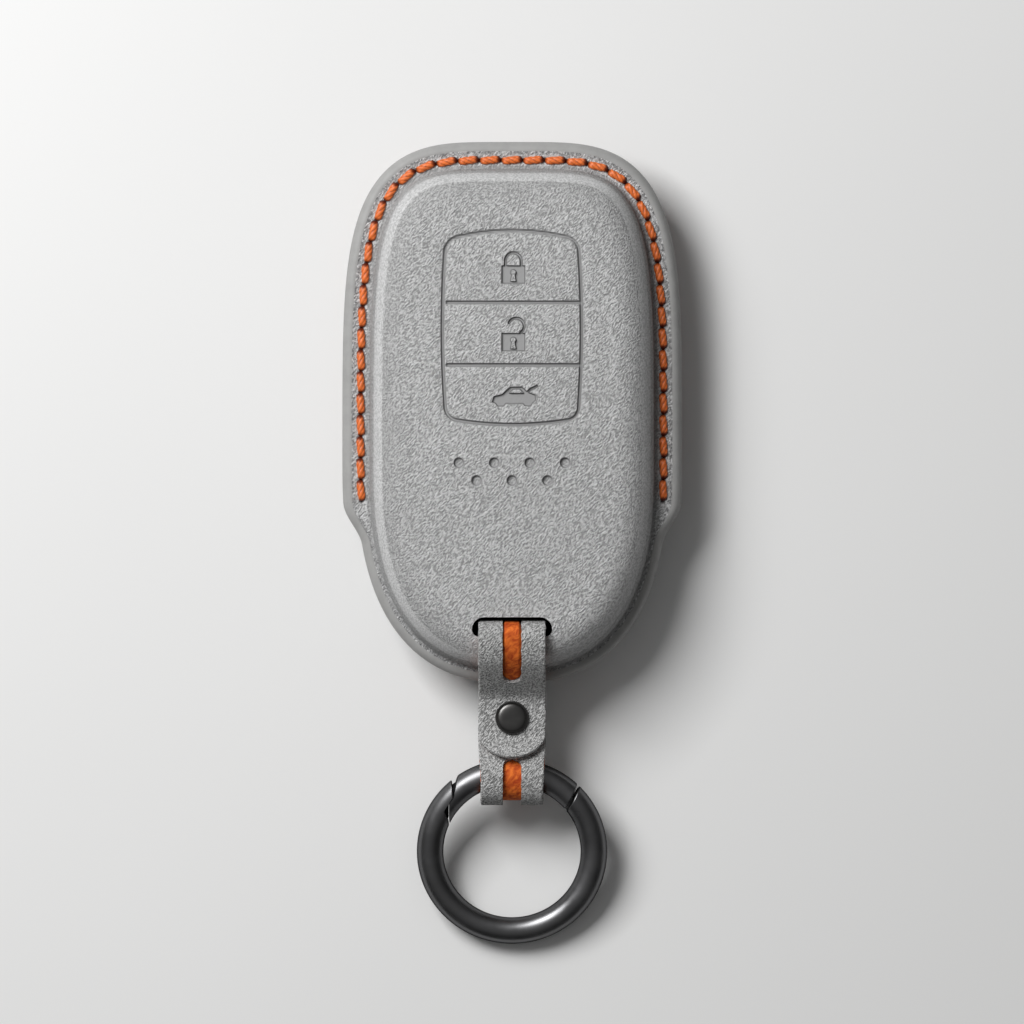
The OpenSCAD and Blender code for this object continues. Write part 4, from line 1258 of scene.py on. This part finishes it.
def make_body():
    """Ring body with its fork, a closed pocket, and its lap recess painted dark as shade"""
    shifted = joint_line(JOINT_GAP)
    body = ring_piece("ring_body", profile_angle(LAP_PTS), lambda r: shifted(r) + math.tau, 150,
                      profile_angle(lap(0, 0)))
    body.data.materials.append(RING_METAL)
    body.data.materials.append(RECESS_SHADE)
    reach = math.asin((TONGUE_R + JOINT_GAP / 2) / RING_R)
    low, high = PIN_AT - reach, JOINT_AT + reach * 3
    fork = np.concatenate([arc((0, 0), RING_R + TUBE_R - POCKET_WALL * 3, low, high, 24),
                           arc((0, 0), RING_R - TUBE_R + POCKET_WALL, high, low, 24)])
    boolean(body, ring_prism("fork", fork, -FORK_W / 2, FORK_W / 2), "DIFFERENCE")
    boolean(body, ring_prism("hole", circle(PIN_PT, PIN_R + FORK_RUN), -TUBE_R * 1.5, TUBE_R * 1.5),
            "DIFFERENCE")
    soften(body, 32)
    dress(body, "ring", "ring_metal", ["ring_body"])


def make_gate():
    """Gate with its tongue on the pin"""
    gate = ring_piece("ring_gate", joint_line(0), profile_angle(lap(LAP_PLAY, FINGER_CLEAR)), 70)
    root = JOINT_PT - JOINT_OUT * TONGUE_R - JOINT_DIR * TUBE_R * 0.35
    side = TONGUE_R * 0.95 * unit(np.array([-(root - PIN_PT)[1], (root - PIN_PT)[0]]))
    turn = math.atan2(side[1], side[0])
    tongue = np.concatenate([arc(PIN_PT, TONGUE_R, turn, turn + math.pi, 24), [root - side, root + side]])
    low = -FORK_W / 2 + PIN_RUN
    boolean(gate, ring_prism("tongue", tongue, low, low + TONGUE_T), "UNION")
    boolean(gate, ring_prism("hole", circle(PIN_PT, PIN_R + PIN_RUN), -FORK_W, FORK_W), "DIFFERENCE")
    soften(gate, 32)
    dress(gate, "gate", "ring_metal", ["ring_gate"], RING_METAL)


def make_pin():
    """Hinge pin, its ends dressed flush with the tube"""
    turn = np.linspace(0, math.tau, 40, endpoint=False)
    shares = (0.02, 0.35, 0.7, 0.92, 1.0)
    rows = []
    for end, share in [(-1, s) for s in shares] + [(1, s) for s in shares[::-1]]:
        x, y = (PIN_PT[k] + PIN_R * share * wave(turn) for k, wave in enumerate((np.cos, np.sin)))
        height = np.sqrt(TUBE_R ** 2 - (np.hypot(x, y) - RING_R) ** 2) - FORK_RUN
        rows.append(np.column_stack([x, y, end * height]))
    made = skinned("gate_pin", rows, in_ring, 40)
    dress(made, "ring", "pin_steel", ["gate_pin"], PIN_STEEL)


def swept(path, radius):
    """Rings of a round wire along a path"""
    ahead = unit(np.gradient(path, axis=0))
    side = unit(np.cross([0, 0, 1.0], ahead))
    over = np.cross(ahead, side)
    turn = np.linspace(0, math.tau, 12, endpoint=False)
    return path[:, None, :] + radius * (np.cos(turn)[None, :, None] * side[:, None, :]
                                        + np.sin(turn)[None, :, None] * over[:, None, :])


def make_spring():
    """Torsion spring round the pin, with a short leg at each end"""
    low = -FORK_W / 2 + PIN_RUN + TONGUE_T + WIRE_R * 1.6
    high = FORK_W / 2 - WIRE_R * 1.5
    start = math.radians(100)
    t = np.linspace(0, 1, 97)
    turn = start + math.tau * SPRING_TURNS * t
    coil = turned(COIL_R, turn, low + (high - low) * t)
    leg = TONGUE_R * 0.9
    first = coil[0] + leg * np.array([math.sin(start), -math.cos(start), 0])
    last = coil[-1] + leg * np.array([-math.sin(turn[-1]), math.cos(turn[-1]), 0])
    path = np.concatenate([np.linspace(first, coil[0], 5)[:-1], coil, np.linspace(coil[-1], last, 5)[1:]])
    path[:, :2] += PIN_PT
    made = skinned("gate_spring", swept(path, WIRE_R), in_ring)
    dress(made, "gate", "spring_steel", ["gate_spring"], SPRING_STEEL)


# Studio

FRAME_W = 0.1536
CAMERA_HEIGHT = 3.0
VIEW_MID_Y = -0.01496
LAMP_AT = (-0.29, 0.26, 0.46)
LAMP_AIM = (0, VIEW_MID_Y, 0.01)
LAMP_SIZE = 0.3
LAMP_POWER = 4.2
SKY_TOWARDS = (-0.26, 0.23, 0.94)
SKY_LOW = 0.05
SKY_HIGH = 0.26
FLOOR_HALF = 2.0
FLOOR_DROP = 0.00005


def make_camera():
    """Camera straight above the object, as in the photograph"""
    camera = bpy.data.objects.new("camera", bpy.data.cameras.new("camera"))
    bpy.context.scene.collection.objects.link(camera)
    camera.location = (0, VIEW_MID_Y, CAMERA_HEIGHT)
    camera.data.angle = 2 * math.atan(FRAME_W / 2 / (CAMERA_HEIGHT - MID_Z))
    camera.data.clip_start = 0.1
    bpy.context.scene.camera = camera


def make_lamp():
    """A square soft key lamp from the upper left"""
    light = bpy.data.lights.new("key", "AREA")
    light.size = LAMP_SIZE
    light.energy = LAMP_POWER
    made = bpy.data.objects.new("key", light)
    bpy.context.scene.collection.objects.link(made)
    made.location = LAMP_AT
    aim = Vector(LAMP_AIM) - Vector(LAMP_AT)
    made.rotation_euler = aim.to_track_quat("-Z", "Y").to_euler()


def make_floor():
    """Plain pale floor"""
    h = FLOOR_HALF
    corners = np.array([(-h, -h, 0), (h, -h, 0), (h, h, 0), (-h, h, 0)])
    floor = build("floor", corners, np.array([[0, 1, 2, 3]]))
    floor.location.z = -FLOOR_DROP
    mat, principled = shader("floor", Roughness=0.9, Specular_IOR_Level=0.2)
    cloud = noise(mat, placed(mat), 6, detail=2)
    plug(mat, principled, Base_Color=mix(mat, cloud, (0.74, 0.74, 0.735), (0.78, 0.78, 0.775)))
    floor.data.materials.append(mat)


def make_sky():
    """Dim white sky, brighter on the lamp's side"""
    world = bpy.data.worlds.new("studio")
    world.use_nodes = True
    back = world.node_tree.nodes["Background"]
    back.inputs["Color"].default_value = (1, 1, 1, 1)
    way = add(world, "ShaderNodeTexCoord").outputs["Generated"]
    facing = add(world, "ShaderNodeVectorMath", {0: way, 1: SKY_TOWARDS},
                 operation="DOT_PRODUCT").outputs["Value"]
    world.node_tree.links.new(ramp(world, facing, 0.2, 1.0, SKY_LOW, SKY_HIGH), back.inputs["Strength"])
    bpy.context.scene.world = world


make_camera()
make_case()
make_thread("needle_thread", 1)
make_thread("bobbin_thread", -1)
make_strap()
make_head()
make_screw()
make_body()
make_gate()
make_pin()
make_spring()
make_lamp()
make_floor()
make_sky()
bpy.context.scene.view_settings.view_transform = "Standard"
